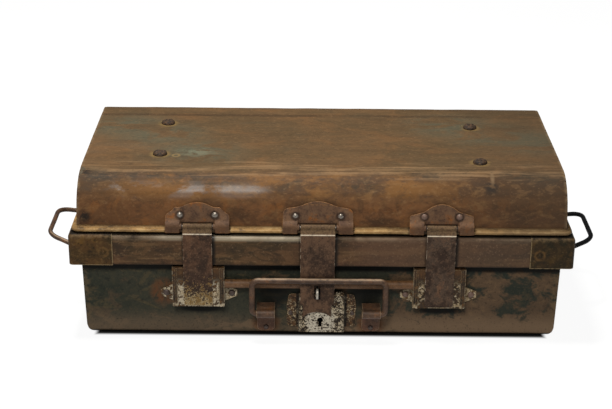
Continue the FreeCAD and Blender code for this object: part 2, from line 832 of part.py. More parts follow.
put(body, d.lock_shift, -wall, 0)
nodes.append(body)
lock_rivets = []
for x, z in lock_spots:
    lock_rivets += rivet((x, -(wall + d.plate_thick), z), NORMALS["front"], d.plate_thick + d.sheet)
nodes.append(group("lock_rivets", lock_rivets))

# Bolts: two in the tube, one in the lock case
for side, k in SIDES.items():
    tip_x = side_x[side] - k * (d.eye_thick / 2 + d.bolt_short)
    middle = (tip_x - k * d.bolt_length / 2, tube_y, d.tube_up)
    rod = bar(middle, NORMALS["right"], d.bolt_radius, d.bolt_length)
    rod.Label = f"bolt_{side}"
    nodes.append(rod)
tip_x = d.hasp_shift + d.eye_thick / 2 + d.bolt_short
middle = (tip_x + d.lock_bolt_length / 2, tube_y, d.lock_bolt_up)
rod = bar(middle, NORMALS["right"], d.lock_bolt_radius, d.lock_bolt_length)
rod.Label = "lock_bolt"
nodes.append(rod)

# Padlock staple: seated on the lock case, through the middle hasp's slot
body = new_body("padlock_staple")
shape = new_sketch(body, "plate", "YZ_Plane")
front = box_front - d.staple_out
draw(shape, [
    (box_front + d.staple_root, d.lock_high),
    (box_front + d.staple_root, d.staple_neck),
    (box_front, d.staple_neck),
    (box_front, d.staple_high),
    (front, d.staple_high, 6),
    (front, d.staple_low, 6),
    (box_front, d.staple_low),
    (box_front, d.lock_high),
])
eye_up = (d.staple_low + d.staple_high) / 2
circle(shape, front + d.staple_hole + 2.2, eye_up, d.staple_hole)
pad(body, shape, d.staple_thick, both=True)
put(body, d.hasp_shift)
nodes.append(body)

# Front bail and its loop brackets
body = new_body("front_bail")
path = new_sketch(body, "bend", "XZ_Plane")
foot = bail_half - d.bail_pin
draw(path, [
    (-foot, 0),
    (-bail_half, 0, d.bail_turn),
    (-bail_half, d.bail_rise, d.bail_round),
    (bail_half, d.bail_rise, d.bail_round),
    (bail_half, 0, d.bail_turn),
    (foot, 0),
], closed=False)
wire = circle(new_sketch(body, "wire", "YZ_Plane", level=-foot), 0, 0, d.bail_wire / 2)
sweep(body, wire, path)
put(body, d.hardware_shift, -(wall + d.bail_axis_out), d.bail_axis_up, (1, 0, 0), -d.bail_lean)
nodes.append(body)
bracket_rivets = []
for side, k in SIDES.items():
    body = new_body(f"bail_bracket_{side}")
    loop = d.bail_wire / 2 + d.bracket_play
    outer = loop + d.bracket_thick
    nose = -(d.bail_axis_out + outer)
    hollow = -(d.bail_axis_out + loop)
    shape = new_sketch(body, "loop", "YZ_Plane")
    draw(shape, [
        (0, outer),
        (nose, outer, outer - 0.1),
        (nose, -outer, outer - 0.1),
        (-d.bracket_thick, -outer),
        (-d.bracket_thick, -d.bracket_drop),
        (0, -d.bracket_drop),
        (0, -loop),
        (hollow, -loop, loop - 0.1),
        (hollow, loop, loop - 0.1),
        (0, loop),
    ])
    pad(body, shape, d.bracket_wide, both=True)

    def tab_corner(edge, middle):
        return along(edge, 1) and abs(middle.z + d.bracket_drop.value) < 1e-4

    round_edges(body, d.bracket_round, tab_corner)
    hole = new_sketch(body, "rivet_hole", "XZ_Plane")
    circle(hole, 0, -d.bracket_rivet_drop, RIVET_HOLE)
    pocket(body, hole, d.bracket_thick * 4, both=True)
    put(body, bracket_x[side], -wall, d.bail_axis_up)
    nodes.append(body)
for x, z in bracket_spots:
    bracket_rivets += rivet((x, -(wall + d.bracket_thick), z), NORMALS["front"], d.bracket_thick + d.sheet)
nodes.append(group("bail_bracket_rivets", bracket_rivets))

# End handles in saddles on the leaning end panels
wire_gap = d.handle_wire / 2 + d.saddle_play
lean_sin = Size(math.sin(math.radians(lean.value)), f"sin({lean.formula} * 1 deg)")
lean_cos = Size(math.cos(math.radians(lean.value)), f"cos({lean.formula} * 1 deg)")


def on_panel(k, out, y, up):
    """A point at a distance out of an end panel, at a height along it."""
    x = panel_x(k) + k * (out * lean_cos + up * lean_sin)
    return (x, as_size(y), up * lean_cos - out * lean_sin)


saddle_rivets = []
for side, k in SIDES.items():
    body = new_body(f"end_handle_{side}")
    path = new_sketch(body, "bend", "XY_Plane")
    foot = d.handle_half - d.handle_pin
    draw(path, [
        (0, -foot),
        (0, -d.handle_half, d.handle_turn),
        (k * d.handle_reach, -d.handle_bar_half, d.handle_round),
        (k * d.handle_reach, d.handle_bar_half, d.handle_round),
        (0, d.handle_half, d.handle_turn),
        (0, foot),
    ], closed=False)
    wire = circle(new_sketch(body, "wire", "XZ_Plane", level=foot), 0, 0, d.handle_wire / 2)
    sweep(body, wire, path)
    put(body, *on_panel(k, wire_gap, 0, d.handle_axis_up), (0, 1, 0), -k * d.handle_tilt)
    nodes.append(body)
    for row, j in {"front": -1, "back": 1}.items():
        body = new_body(f"handle_saddle_{side}_{row}")
        shape = new_sketch(body, "saddle", "XZ_Plane")
        outer = wire_gap + d.saddle_thick
        crest = wire_gap + outer
        draw(shape, [
            (0, d.saddle_half), (k * d.saddle_thick, d.saddle_half), (k * d.saddle_thick, outer),
            (k * crest, outer, outer - 0.1), (k * crest, -outer, outer - 0.1),
            (k * d.saddle_thick, -outer), (k * d.saddle_thick, -d.saddle_half), (0, -d.saddle_half),
            (0, -wire_gap), (k * wire_gap * 2, -wire_gap, wire_gap - 0.1),
            (k * wire_gap * 2, wire_gap, wire_gap - 0.1), (0, wire_gap),
        ])
        pad(body, shape, d.saddle_wide, both=True)
        holes = new_sketch(body, "rivet_holes", "YZ_Plane")
        for m in (-1, 1):
            circle(holes, 0, m * d.saddle_rivet, RIVET_HOLE)
        pocket(body, holes, d.saddle_thick * 4, both=True)
        put(body, *on_panel(k, as_size(0), j * d.saddle_mid, d.handle_axis_up), (0, 1, 0), k * lean)
        nodes.append(body)
    normal = FreeCAD.Vector(k * lean_cos.value, 0, -lean_sin.value)
    for y, z in saddle_spots:
        spot = on_panel(k, d.saddle_thick, y, z)
        saddle_rivets += rivet(spot, normal, d.saddle_thick + d.sheet)
nodes.append(group("saddle_rivets", saddle_rivets))

# Lid: front, top and back from one sheet with round shoulders
plate_x = {"left": side_x["left"], "middle": d.hasp_shift, "right": side_x["right"]}
plate_wide = {"left": d.plate_side_wide, "middle": d.plate_mid_wide, "right": d.plate_side_wide}
plate_crown = {"left": d.plate_side_crown, "middle": d.plate_mid_crown, "right": d.plate_side_crown}
plate_rivet = {"left": d.plate_side_rivet, "middle": d.plate_mid_rivet, "right": d.plate_side_rivet}
hasp_wide = {"left": d.hasp_side_wide, "middle": d.hasp_mid_wide, "right": d.hasp_side_wide}
plate_spots = [(plate_x[s] + j * plate_rivet[s], axis_z + d.plate_rivet_up) for s in plate_x for j in (-1, 1)]
lid_hinge_z = d.rim_top + d.hinge_axis_up + d.hinge_lid_rivet_up
lid_hinge_spots = [(hinge_x[s] + j * d.hinge_rivet, lid_hinge_z) for s in SIDES for j in (-1, 1)]
stud_spots = [
    (d.stud_left, d.stud_left_back), (d.stud_left, d.stud_left_front),
    (d.stud_right, d.stud_right_back), (d.stud_right, d.stud_right_front),
]
body = new_body("lid_wrapper")
section = new_sketch(body, "lid_section", "YZ_Plane")
lid_inner = lid_wall - d.sheet
draw(section, [
    (-lid_wall, lid_skirt),
    (-lid_wall, lid_top, d.lid_radius),
    (lid_wall, lid_top, d.lid_radius),
    (lid_wall, lid_skirt),
    (lid_inner, lid_skirt),
    (lid_inner, lid_top - d.sheet, d.lid_radius - d.sheet),
    (-lid_inner, lid_top - d.sheet, d.lid_radius - d.sheet),
    (-lid_inner, lid_skirt),
])
pad(body, section, lid_half * 2 + 10, both=True)
trim = new_sketch(body, "lid_ends", "XZ_Plane")
end_wedges(trim, lid_half, as_size(0), d.lid_taper, lid_skirt, lid_top)
pocket(body, trim, d.body_depth * 2, both=True)
holes = new_sketch(body, "front_holes", "XZ_Plane")
for x, z in plate_spots:
    circle(holes, x, z, RIVET_HOLE)
pocket(body, holes, d.body_depth, reverse=True)
holes = new_sketch(body, "back_holes", "XZ_Plane")
for x, z in lid_hinge_spots:
    circle(holes, x, z, RIVET_HOLE)
pocket(body, holes, d.body_depth)
holes = new_sketch(body, "stud_holes", "XY_Plane", level=lid_top)
for x, y in stud_spots:
    circle(holes, x, y, d.stud_shank + d.hole_play)
pocket(body, holes, d.sheet * 4, both=True)
nodes.append(body)

# Lid ends: flanged panels that lean inward to the top
lid_lean = slope(d.lid_taper, lid_top - lid_skirt)
lid_panel_half = lid_inner - d.seam_gap
lid_panel_low = d.seam_gap + d.end_flange * d.lid_taper / (lid_top - lid_skirt)
lid_panel_top = lid_top - lid_skirt - d.sheet - d.seam_gap - lid_panel_low
lid_panel_radius = d.lid_radius - d.sheet - d.seam_gap
for side, k in SIDES.items():
    body = new_body(f"lid_end_{side}")
    shape = new_sketch(body, "panel", "YZ_Plane")
    draw(shape, [
        (-lid_panel_half, 0),
        (-lid_panel_half, lid_panel_top, lid_panel_radius),
        (lid_panel_half, lid_panel_top, lid_panel_radius),
        (lid_panel_half, 0),
    ])
    pad(body, shape, d.sheet, reverse=k > 0)
    flange = new_sketch(body, "flange", "YZ_Plane")
    draw(flange, [
        (-lid_panel_half, 0),
        (-lid_panel_half, lid_panel_top, lid_panel_radius),
        (lid_panel_half, lid_panel_top, lid_panel_radius),
        (lid_panel_half, 0),
        (lid_panel_half - d.sheet, 0),
        (lid_panel_half - d.sheet, lid_panel_top - d.sheet, lid_panel_radius - d.sheet),
        (-lid_panel_half + d.sheet, lid_panel_top - d.sheet, lid_panel_radius - d.sheet),
        (-lid_panel_half + d.sheet, 0),
    ])
    pad(body, flange, d.end_flange, reverse=k > 0)
    put(body, k * (lid_half - d.seam_lip), 0, lid_skirt + lid_panel_low, (0, 1, 0), -k * lid_lean)
    nodes.append(body)

# Wired edge of the lid: flange, upright leg inside the lid and round bead
body = new_body("lid_bead")
bead_x = lid_half + d.bead_reach
bead_y = lid_wall + d.bead_reach
leg_x = lid_half - d.seam_lip - d.sheet - d.bead_leg_play - d.bead_leg * d.lid_taper / (lid_top - lid_skirt)
leg_y = lid_panel_half - d.sheet - d.bead_leg_play
path = new_sketch(body, "bead_path", "XY_Plane", level=bead_up)
draw(path, [
    (bead_x, bead_y, d.bead_corner), (-bead_x, bead_y, d.bead_corner),
    (-bead_x, -bead_y, d.bead_corner), (bead_x, -bead_y, d.bead_corner),
])
wire = circle(new_sketch(body, "bead_wire", "YZ_Plane"), bead_y, bead_up, d.bead_wire / 2)
sweep(body, wire, path)
brim = new_sketch(body, "brim", "XY_Plane", level=lid_skirt)
draw(brim, [
    (bead_x, bead_y, d.bead_corner), (-bead_x, bead_y, d.bead_corner),
    (-bead_x, -bead_y, d.bead_corner), (bead_x, -bead_y, d.bead_corner),
])
rectangle(brim, -(leg_x - d.sheet), leg_x - d.sheet, -(leg_y - d.sheet), leg_y - d.sheet)
pad(body, brim, d.brim_thick, reverse=True)
leg = new_sketch(body, "leg", "XY_Plane", level=lid_skirt)
rectangle(leg, -leg_x, leg_x, -leg_y, leg_y)
rectangle(leg, -(leg_x - d.sheet), leg_x - d.sheet, -(leg_y - d.sheet), leg_y - d.sheet)
pad(body, leg, d.bead_leg)
nodes.append(body)

# Studs on the lid's top
studs = []
for x, y in stud_spots:
    studs += rivet((x, y, lid_top), NORMALS["up"], d.sheet, d.stud_radius, d.stud_rise, d.stud_shank,
                   d.stud_shank * 2)
nodes.append(group("lid_studs", studs))

# Hasp plates with their knuckles, rivets and pins, and the hasps with their eyes
bore = d.pin + d.pin_play
pins = []
plate_rivets = []
for side in plate_x:
    half = plate_wide[side] / 2
    crown = plate_crown[side]
    hasp_half = hasp_wide[side] / 2
    body = new_body(f"hasp_plate_{side}")
    shape = new_sketch(body, "plate", "XZ_Plane", level=-d.axis_out)
    draw(shape, [
        (-half, d.plate_low), (half, d.plate_low), (half, d.plate_shoulder, 6),
        (half * 0.62, d.plate_brow, 8), (half * 0.36, crown, 9), (half * -0.36, crown, 9),
        (half * -0.62, d.plate_brow, 8), (-half, d.plate_shoulder, 6),
    ])
    pad(body, shape, d.plate_thick)
    for j in (-1, 1):
        start = hasp_half + d.side_play
        web = new_sketch(body, "web", "YZ_Plane", level=j * start)
        draw(web, [
            (d.axis_out, d.web_rise),
            (d.axis_out - d.plate_thick, d.web_rise),
            (-d.knuckle / 3, d.knuckle * 0.91),
            (d.knuckle * 0.45, d.knuckle * 0.67),
            (d.axis_out, d.knuckle * 0.78),
        ])
        pad(body, web, d.knuckle_wide, reverse=j < 0)
        roll = new_sketch(body, "roll", "YZ_Plane", level=j * start)
        circle(roll, 0, 0, d.knuckle)
        circle(roll, 0, 0, bore)
        pad(body, roll, d.knuckle_wide, reverse=j < 0)
    holes = new_sketch(body, "rivet_holes", "XZ_Plane", level=-d.axis_out)
    for j in (-1, 1):
        circle(holes, j * plate_rivet[side], d.plate_rivet_up, RIVET_HOLE)
    pocket(body, holes, d.plate_thick * 4, both=True)
    put(body, plate_x[side], axis_y, axis_z)
    nodes.append(body)
    pin_length = hasp_wide[side] + (d.side_play + d.knuckle_wide) * 2
    pins.append(bar((plate_x[side], axis_y, axis_z), NORMALS["right"], d.pin, pin_length))

    body = new_body(f"hasp_{side}")
    back = hasp_back - axis_y
    front = back - d.hasp_thick
    end = (d.hasp_mid_end if side == "middle" else d.hasp_side_end) - axis_z
    strap = new_sketch(body, "strap", "YZ_Plane")
    draw(strap, [
        (-d.knuckle * 0.22, d.knuckle * 0.97),
        (front, -d.hasp_bend_down, 3),
        (front, end),
        (back, end),
        (back, -d.hasp_bend_down + 0.3),
        (-d.knuckle * 0.58, -d.knuckle * 0.67),
        (-d.knuckle * 0.8, 0),
    ])
    pad(body, strap, hasp_wide[side], both=True)
    roll = new_sketch(body, "roll", "YZ_Plane")
    circle(roll, 0, 0, d.knuckle)
    circle(roll, 0, 0, bore)
    pad(body, roll, hasp_wide[side], both=True)
    if side == "middle":
        slot = new_sketch(body, "slot", "XZ_Plane")
        rectangle(slot, -d.slot_wide / 2, d.slot_wide / 2, d.slot_low - axis_z, d.slot_high - axis_z)
        pocket(body, slot, d.catch_deep * 2, both=True)
        arch = new_sketch(body, "arch", "XZ_Plane")
        circle(arch, 0, d.hasp_arch_top - d.hasp_arch_radius - axis_z, d.hasp_arch_radius)
        pocket(body, arch, d.catch_deep * 2, both=True)
        notch = new_sketch(body, "notch", "XZ_Plane")
        for j in (-1, 1):
            edges = sorted_pair(j * d.hasp_mid_tip_wide / 2, j * hasp_half * 2)
            rectangle(notch, *edges, end - 5, d.hasp_mid_notch_up - axis_z)
        pocket(body, notch, d.catch_deep * 2, both=True)
    else:
        def end_corner(edge, middle):
            return along(edge, 1) and abs(middle.z - end.value) < 1e-4

        round_edges(body, d.hasp_corner, end_corner)
    put(body, plate_x[side], axis_y, axis_z)
    nodes.append(body)

    body = new_body(f"hasp_eye_{side}")
    mid_eye = side == "middle"
    radius = d.lock_eye_radius if mid_eye else d.eye_radius
    hole = d.lock_eye_hole if mid_eye else d.eye_hole
    up = d.lock_bolt_up if mid_eye else d.tube_up
    shape = new_sketch(body, "eye", "YZ_Plane")
    draw(shape, [
        (hasp_back, up - radius), (tube_y + radius, up - radius, radius - 0.1),
        (tube_y + radius, up + radius, radius - 0.1), (hasp_back, up + radius),
    ])
    circle(shape, tube_y, up, hole)
    pad(body, shape, d.eye_thick, both=True)
    put(body, plate_x[side])
    nodes.append(body)
for x, z in plate_spots:
    plate_rivets += rivet((x, -(lid_wall + d.plate_thick), z), NORMALS["front"], d.plate_thick + d.sheet)
nodes.append(group("hasp_plate_rivets", plate_rivets))
nodes.append(group("hasp_pins", pins))

# Strap hinges at the back, with a lug on the lid leaf that stops the lid
hinge_y = rim_face + d.hinge_axis_out
hinge_z = d.rim_top + d.hinge_axis_up
hinge_pins = []
tub_rivets = []
lid_rivets = []
for side in SIDES:
    half = d.hinge_wide / 2
    middle_half = d.hinge_middle / 2
    body = new_body(f"hinge_tub_leaf_{side}")
    leaf = new_sketch(body, "leaf", "YZ_Plane")
    rectangle(leaf, -d.hinge_axis_out, d.hinge_thick - d.hinge_axis_out, -d.hinge_tub_drop, 0)
    pad(body, leaf, d.hinge_wide, both=True)
    for j in (-1, 1):
        start = middle_half + d.side_play
        roll = new_sketch(body, "roll", "YZ_Plane", level=j * start)
        circle(roll, 0, 0, d.hinge_knuckle)
        circle(roll, 0, 0, bore)
        pad(body, roll, half - start, reverse=j < 0)
    gap = new_sketch(body, "gap", "XZ_Plane")
    rectangle(gap, -(middle_half + d.side_play), middle_half + d.side_play, -d.hinge_axis_up, d.hinge_knuckle)
    pocket(body, gap, d.hinge_knuckle * 4, both=True)
    holes = new_sketch(body, "rivet_holes", "XZ_Plane")
    for j in (-1, 1):
        circle(holes, j * d.hinge_rivet, -d.hinge_tub_rivet_drop, RIVET_HOLE)
    pocket(body, holes, d.hinge_knuckle * 4, both=True)
    put(body, hinge_x[side], hinge_y, hinge_z)
    nodes.append(body)

    body = new_body(f"hinge_lid_leaf_{side}")
    back = lid_wall - hinge_y
    leaf = new_sketch(body, "leaf", "YZ_Plane")
    draw(leaf, [
        (back, d.hinge_over),
        (-d.hinge_knuckle - 1.5, d.hinge_over),
        (-d.hinge_knuckle - 1.5, d.hinge_over + d.hinge_thick),
        (back + d.hinge_thick, d.hinge_over + d.hinge_thick, 2),
        (back + d.hinge_thick, d.hinge_lid_rise),
        (back, d.hinge_lid_rise),
    ])
    pad(body, leaf, d.hinge_wide, both=True)
    tongue = new_sketch(body, "tongue", "YZ_Plane")
    draw(tongue, [
        (back + d.hinge_thick, d.hinge_over),
        (0, d.hinge_over),
        (0, d.hinge_over + d.hinge_thick / 2),
        (-d.hinge_knuckle - 1, d.hinge_over + d.hinge_thick),
        (back + d.hinge_thick, d.hinge_over + d.hinge_thick),
    ])
    pad(body, tongue, d.hinge_middle, both=True)
    roll = new_sketch(body, "roll", "YZ_Plane")
    circle(roll, 0, 0, d.hinge_knuckle)
    circle(roll, 0, 0, bore)
    pad(body, roll, d.hinge_middle, both=True)
    lug = new_sketch(body, "lug", "YZ_Plane", turn=d.lid_open)
    face = d.hinge_thick - d.hinge_axis_out + 0.2
    rectangle(lug, face, face + d.hinge_lug_thick, -d.hinge_lug, -d.hinge_knuckle * 0.7)
    pad(body, lug, d.hinge_middle, both=True)
    holes = new_sketch(body, "rivet_holes", "XZ_Plane", level=-back)
    for j in (-1, 1):
        circle(holes, j * d.hinge_rivet, d.hinge_lid_rivet_up, RIVET_HOLE)
    pocket(body, holes, d.hinge_thick * 4, both=True)
    put(body, hinge_x[side], hinge_y, hinge_z)
    nodes.append(body)
    hinge_pins.append(bar((hinge_x[side], hinge_y, hinge_z), NORMALS["right"], d.pin, d.hinge_wide - 1))
for x, z in hinge_spots:
    tub_rivets += rivet((x, rim_face + d.hinge_thick, z), NORMALS["back"], d.hinge_thick + d.rim_sheet)
for x, z in lid_hinge_spots:
    lid_rivets += rivet((x, lid_wall + d.hinge_thick, z), NORMALS["back"], d.hinge_thick + d.sheet)
nodes.append(group("hinge_tub_rivets", tub_rivets))
nodes.append(group("hinge_lid_rivets", lid_rivets))
nodes.append(group("hinge_pins", hinge_pins))

doc.recompute()
broken = [item for item in doc.Objects if {"Invalid", "Error"} & set(item.State)]
faults = [f"{item.Name} {item.Label} {item.State}" for item in broken]
for node in nodes:
    if node.Shape.isNull() or not node.Shape.isValid() or not node.Shape.Solids:
        faults.append(f"{node.Label} has no sound shape")
if faults:
    raise RuntimeError("; ".join(faults))
os.makedirs("parts", exist_ok=True)
for node in nodes:
    node.Shape.exportStep(f"parts/{node.Label}.step")
print(f"{len(nodes)} nodes written")
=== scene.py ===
import json
import math

import bmesh
import bpy
from mathutils import Matrix, Vector, noise


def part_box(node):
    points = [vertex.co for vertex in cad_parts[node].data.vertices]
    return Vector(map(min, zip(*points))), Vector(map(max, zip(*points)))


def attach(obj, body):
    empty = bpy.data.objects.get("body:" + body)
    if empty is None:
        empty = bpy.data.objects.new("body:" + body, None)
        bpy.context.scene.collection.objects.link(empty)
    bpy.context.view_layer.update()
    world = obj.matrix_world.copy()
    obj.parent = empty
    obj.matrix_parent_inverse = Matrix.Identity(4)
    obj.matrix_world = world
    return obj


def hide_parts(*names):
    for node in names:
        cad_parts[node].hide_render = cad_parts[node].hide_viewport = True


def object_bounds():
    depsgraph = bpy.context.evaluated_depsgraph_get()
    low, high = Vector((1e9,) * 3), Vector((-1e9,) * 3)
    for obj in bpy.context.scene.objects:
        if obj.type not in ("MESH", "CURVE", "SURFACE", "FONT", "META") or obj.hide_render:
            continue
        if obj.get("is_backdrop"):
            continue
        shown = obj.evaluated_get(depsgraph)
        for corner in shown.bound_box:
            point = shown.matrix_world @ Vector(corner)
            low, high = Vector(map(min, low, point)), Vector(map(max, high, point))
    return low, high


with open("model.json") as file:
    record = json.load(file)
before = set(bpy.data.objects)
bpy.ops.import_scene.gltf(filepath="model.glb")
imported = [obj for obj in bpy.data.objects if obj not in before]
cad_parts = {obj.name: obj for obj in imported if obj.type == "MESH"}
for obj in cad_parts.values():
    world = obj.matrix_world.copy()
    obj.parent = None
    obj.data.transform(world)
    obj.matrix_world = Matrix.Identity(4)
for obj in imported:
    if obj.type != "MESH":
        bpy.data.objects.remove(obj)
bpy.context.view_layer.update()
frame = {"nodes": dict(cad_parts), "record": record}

# Places on the trunk in metres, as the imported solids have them
LID_LOW, LID_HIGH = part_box("lid_wrapper")
_, TUB_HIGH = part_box("body_wrapper")
BAND_LOW, BAND_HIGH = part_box("rim_front")
LID_TOP = 0.25
TUB_FRONT = -0.171
SIDES = {"left": -1, "right": 1}
HASPS = ("left", "middle", "right")

# Sheet metal: thickness, fold of the band, lean of the ends, radius of the tub's lower corners
SHEET = 0.001
BAND_SHEET = 0.0012
BAND_FOLD = 0.006
LID_LEAN = 0.0035
TUB_LEAN = 0.0045
CORNER = 0.015

# How far a colour is dimmed so that it shows as itself under the lights, and the widest bend shaded smooth
LIGHT_SHARE = 0.62
SMOOTH_ANGLE = 35


def tone(red, green, blue):
    """The linear colour that shows as these 8-bit values under the studio's lights."""
    parts = []
    for part in (red, green, blue):
        share = part / 255
        linear = share / 12.92 if share <= 0.04045 else ((share + 0.055) / 1.055) ** 2.4
        parts.append(linear * LIGHT_SHARE)
    return (*parts, 1)


def dyed(colour):
    """Makes a tone of three 8-bit values; a linear colour or a shader value stays."""
    return tone(*colour) if isinstance(colour, tuple) and len(colour) == 3 else colour


def math_method(operation, swapped=False):
    """A method of Value that makes a Math node of the value and another one."""
    def method(self, other):
        first, second = (other, self) if swapped else (self, other)
        return self.finish.node("Math", {"operation": operation}, {0: first, 1: second})
    return method


class Value:
    """A shader socket that takes part in Python arithmetic."""

    def __init__(self, finish, socket):
        self.finish = finish
        self.socket = socket

    def __abs__(self):
        return self.finish.node("Math", {"operation": "ABSOLUTE"}, {0: self})

    __add__ = math_method("ADD")
    __radd__ = math_method("ADD", True)
    __sub__ = math_method("SUBTRACT")
    __rsub__ = math_method("SUBTRACT", True)
    __mul__ = math_method("MULTIPLY")
    __rmul__ = math_method("MULTIPLY", True)
    __or__ = math_method("MAXIMUM")
    __and__ = math_method("MINIMUM")


class Finish:
    """A surface finish put together from shader nodes."""

    def __init__(self, name, metallic=0.0, gloss=0.5):
        self.material = bpy.data.materials.new(name)
        self.material.use_nodes = True
        self.tree = self.material.node_tree
        self.shader = self.tree.nodes["Principled BSDF"]
        self.shader.inputs["Metallic"].default_value = metallic
        self.shader.inputs["Specular IOR Level"].default_value = gloss
        self.place = self.node("TexCoord", output="Object")

    def node(self, kind, settings=None, sockets=None, output=0):
        """Any node: its settings first, then the values or links of its sockets."""
        made = self.tree.nodes.new(f"ShaderNode{kind}")
        for name, value in (settings or {}).items():
            setattr(made, name, value)
        for key, value in (sockets or {}).items():
            self.plug(find_socket(made.inputs, key), value)
        return Value(self, find_socket(made.outputs, output))

    def plug(self, socket, value):
        """Links a shader value to a socket, or sets the socket to a constant."""
        if isinstance(value, Value):
            self.tree.links.new(value.socket, socket)
        else:
            socket.default_value = value

    def axes(self):
        """The three coordinates of the surface point, in metres."""
        first = self.node("SeparateXYZ", None, {0: self.place})
        return [Value(self, socket) for socket in first.socket.node.outputs]

    def grain(self, scale, detail=4, rough=0.55, stretch=(1, 1, 1), shift=0, warp=0):
        """Fractal noise over the surface; stretch below 1 draws it out along that axis."""
        spot = self.node("Mapping", None, {
            "Vector": self.place, "Scale": stretch, "Location": (shift, shift * 0.7, shift * 1.3),
        })
        return self.node("TexNoise", None, {
            "Vector": spot, "Scale": scale, "Detail": detail, "Roughness": rough, "Distortion": warp,
        }, "Fac")

    def rise(self, value, low, high):
        """A soft step from 0 to 1 as value goes from low to high."""
        return self.node("MapRange", {"interpolation_type": "SMOOTHSTEP"}, {
            "Value": value, "From Min": low, "From Max": high,
        }, "Result")

    def near(self, spot, inner, outer, squash=(1, 1, 1)):
        """1 within inner of a spot, falling to 0 at outer; a squash below 1 makes the patch longer."""
        scaled = self.node("VectorMath", {"operation": "MULTIPLY"}, {0: self.place, 1: squash})
        centre = [part * share for part, share in zip(spot, squash)]
        away = self.node("VectorMath", {"operation": "DISTANCE"}, {0: scaled, 1: centre}, "Value")
        return self.rise(away, outer, inner)

    def any_near(self, spots, inner, outer, squash=(1, 1, 1)):
        """1 near any of the spots."""
        mask = self.near(spots[0], inner, outer, squash)
        for spot in spots[1:]:
            mask = mask | self.near(spot, inner, outer, squash)
        return mask

    def ring(self, spot, radius, width):
        """1 on a circle round a spot."""
        away = self.node("VectorMath", {"operation": "DISTANCE"}, {0: self.place, 1: spot}, "Value")
        return self.rise(away, radius - width, radius) * self.rise(away, radius + width, radius)

    def attribute(self, name):
        """A number that the mesh carries."""
        return self.node("Attribute", {"attribute_name": name}, None, "Fac")

    def wear_and_highlight(self, grain, low, high, share):
        """The mesh's marks for worn edges, and on drawn wire for a painted highlight along the top, broken up
        by a grain.
        """
        return self.attribute("wear_and_highlight") * self.rise(grain, low, high) * share

    def behind(self, x, node, inner):
        """1 over the width of a CAD node, falling to 0 at 3 mm beside it."""
        middle, half = span(node)
        return self.rise(abs(x - middle), half + 0.003, half + inner)

    def blend(self, mask, first, second):
        """The first colour where the mask is 0, the second where it is 1."""
        return self.node("Mix", {"data_type": "RGBA"}, {
            "Factor_Float": mask, "A_Color": dyed(first), "B_Color": dyed(second),
        }, "Result_Color")

    def layers(self, base, *coats):
        """Lays coats over a base: (mask, colour), or (value, low, high, share, colour) for a soft step.

        The share may be left out where it is 1.
        """
        for *where, colour in coats:
            mask = self.rise(*where[:3]) if len(where) > 1 else where[0]
            for share in where[3:]:
                mask = mask * share
            base = self.blend(mask, base, colour)
        return base

    def set(self, colour, rough, bump=None, depth=0.0003, metallic=None, coat=None):
        """Wires the finish to the shader; a coat is where rubbing has polished it."""
        links = {"Base Color": colour, "Roughness": rough}
        if coat is not None:
            links["Coat Weight"] = coat
            self.shader.inputs["Coat Roughness"].default_value = 0.4
        if metallic is not None:
            links["Metallic"] = metallic
        if bump is not None:
            links["Normal"] = self.node("Bump", None, {"Height": bump, "Distance": depth, "Strength": 1.0})
        for name, value in links.items():
            self.plug(self.shader.inputs[name], value)
        return self


def find_socket(sockets, key):
    """A socket by its number, its identifier or its name."""
    if isinstance(key, int):
        return sockets[key]
    for socket in sockets:
        if socket.identifier == key:
            return socket
    return sockets[key]


def span(node):
    """The middle and the half width of a CAD node along X."""
    low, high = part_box(node)
    return (low.x + high.x) / 2, (high.x - low.x) / 2


# Finishes

def inside_coat(f, patch, mottle):
    """Thin grey-brown paint with a bloom of rust, for the sheets' inner sides."""
    return f.layers(
        (88, 78, 62),
        (patch, 0.48, 0.62, 0.7, (100, 72, 46)),
        (patch, 0.42, 0.3, 0.5, (72, 66, 54)),
        (mottle, 0.52, 0.64, 0.4, (112, 97, 76)),
        (mottle, 0.46, 0.34, 0.5, (60, 51, 40)),
    )


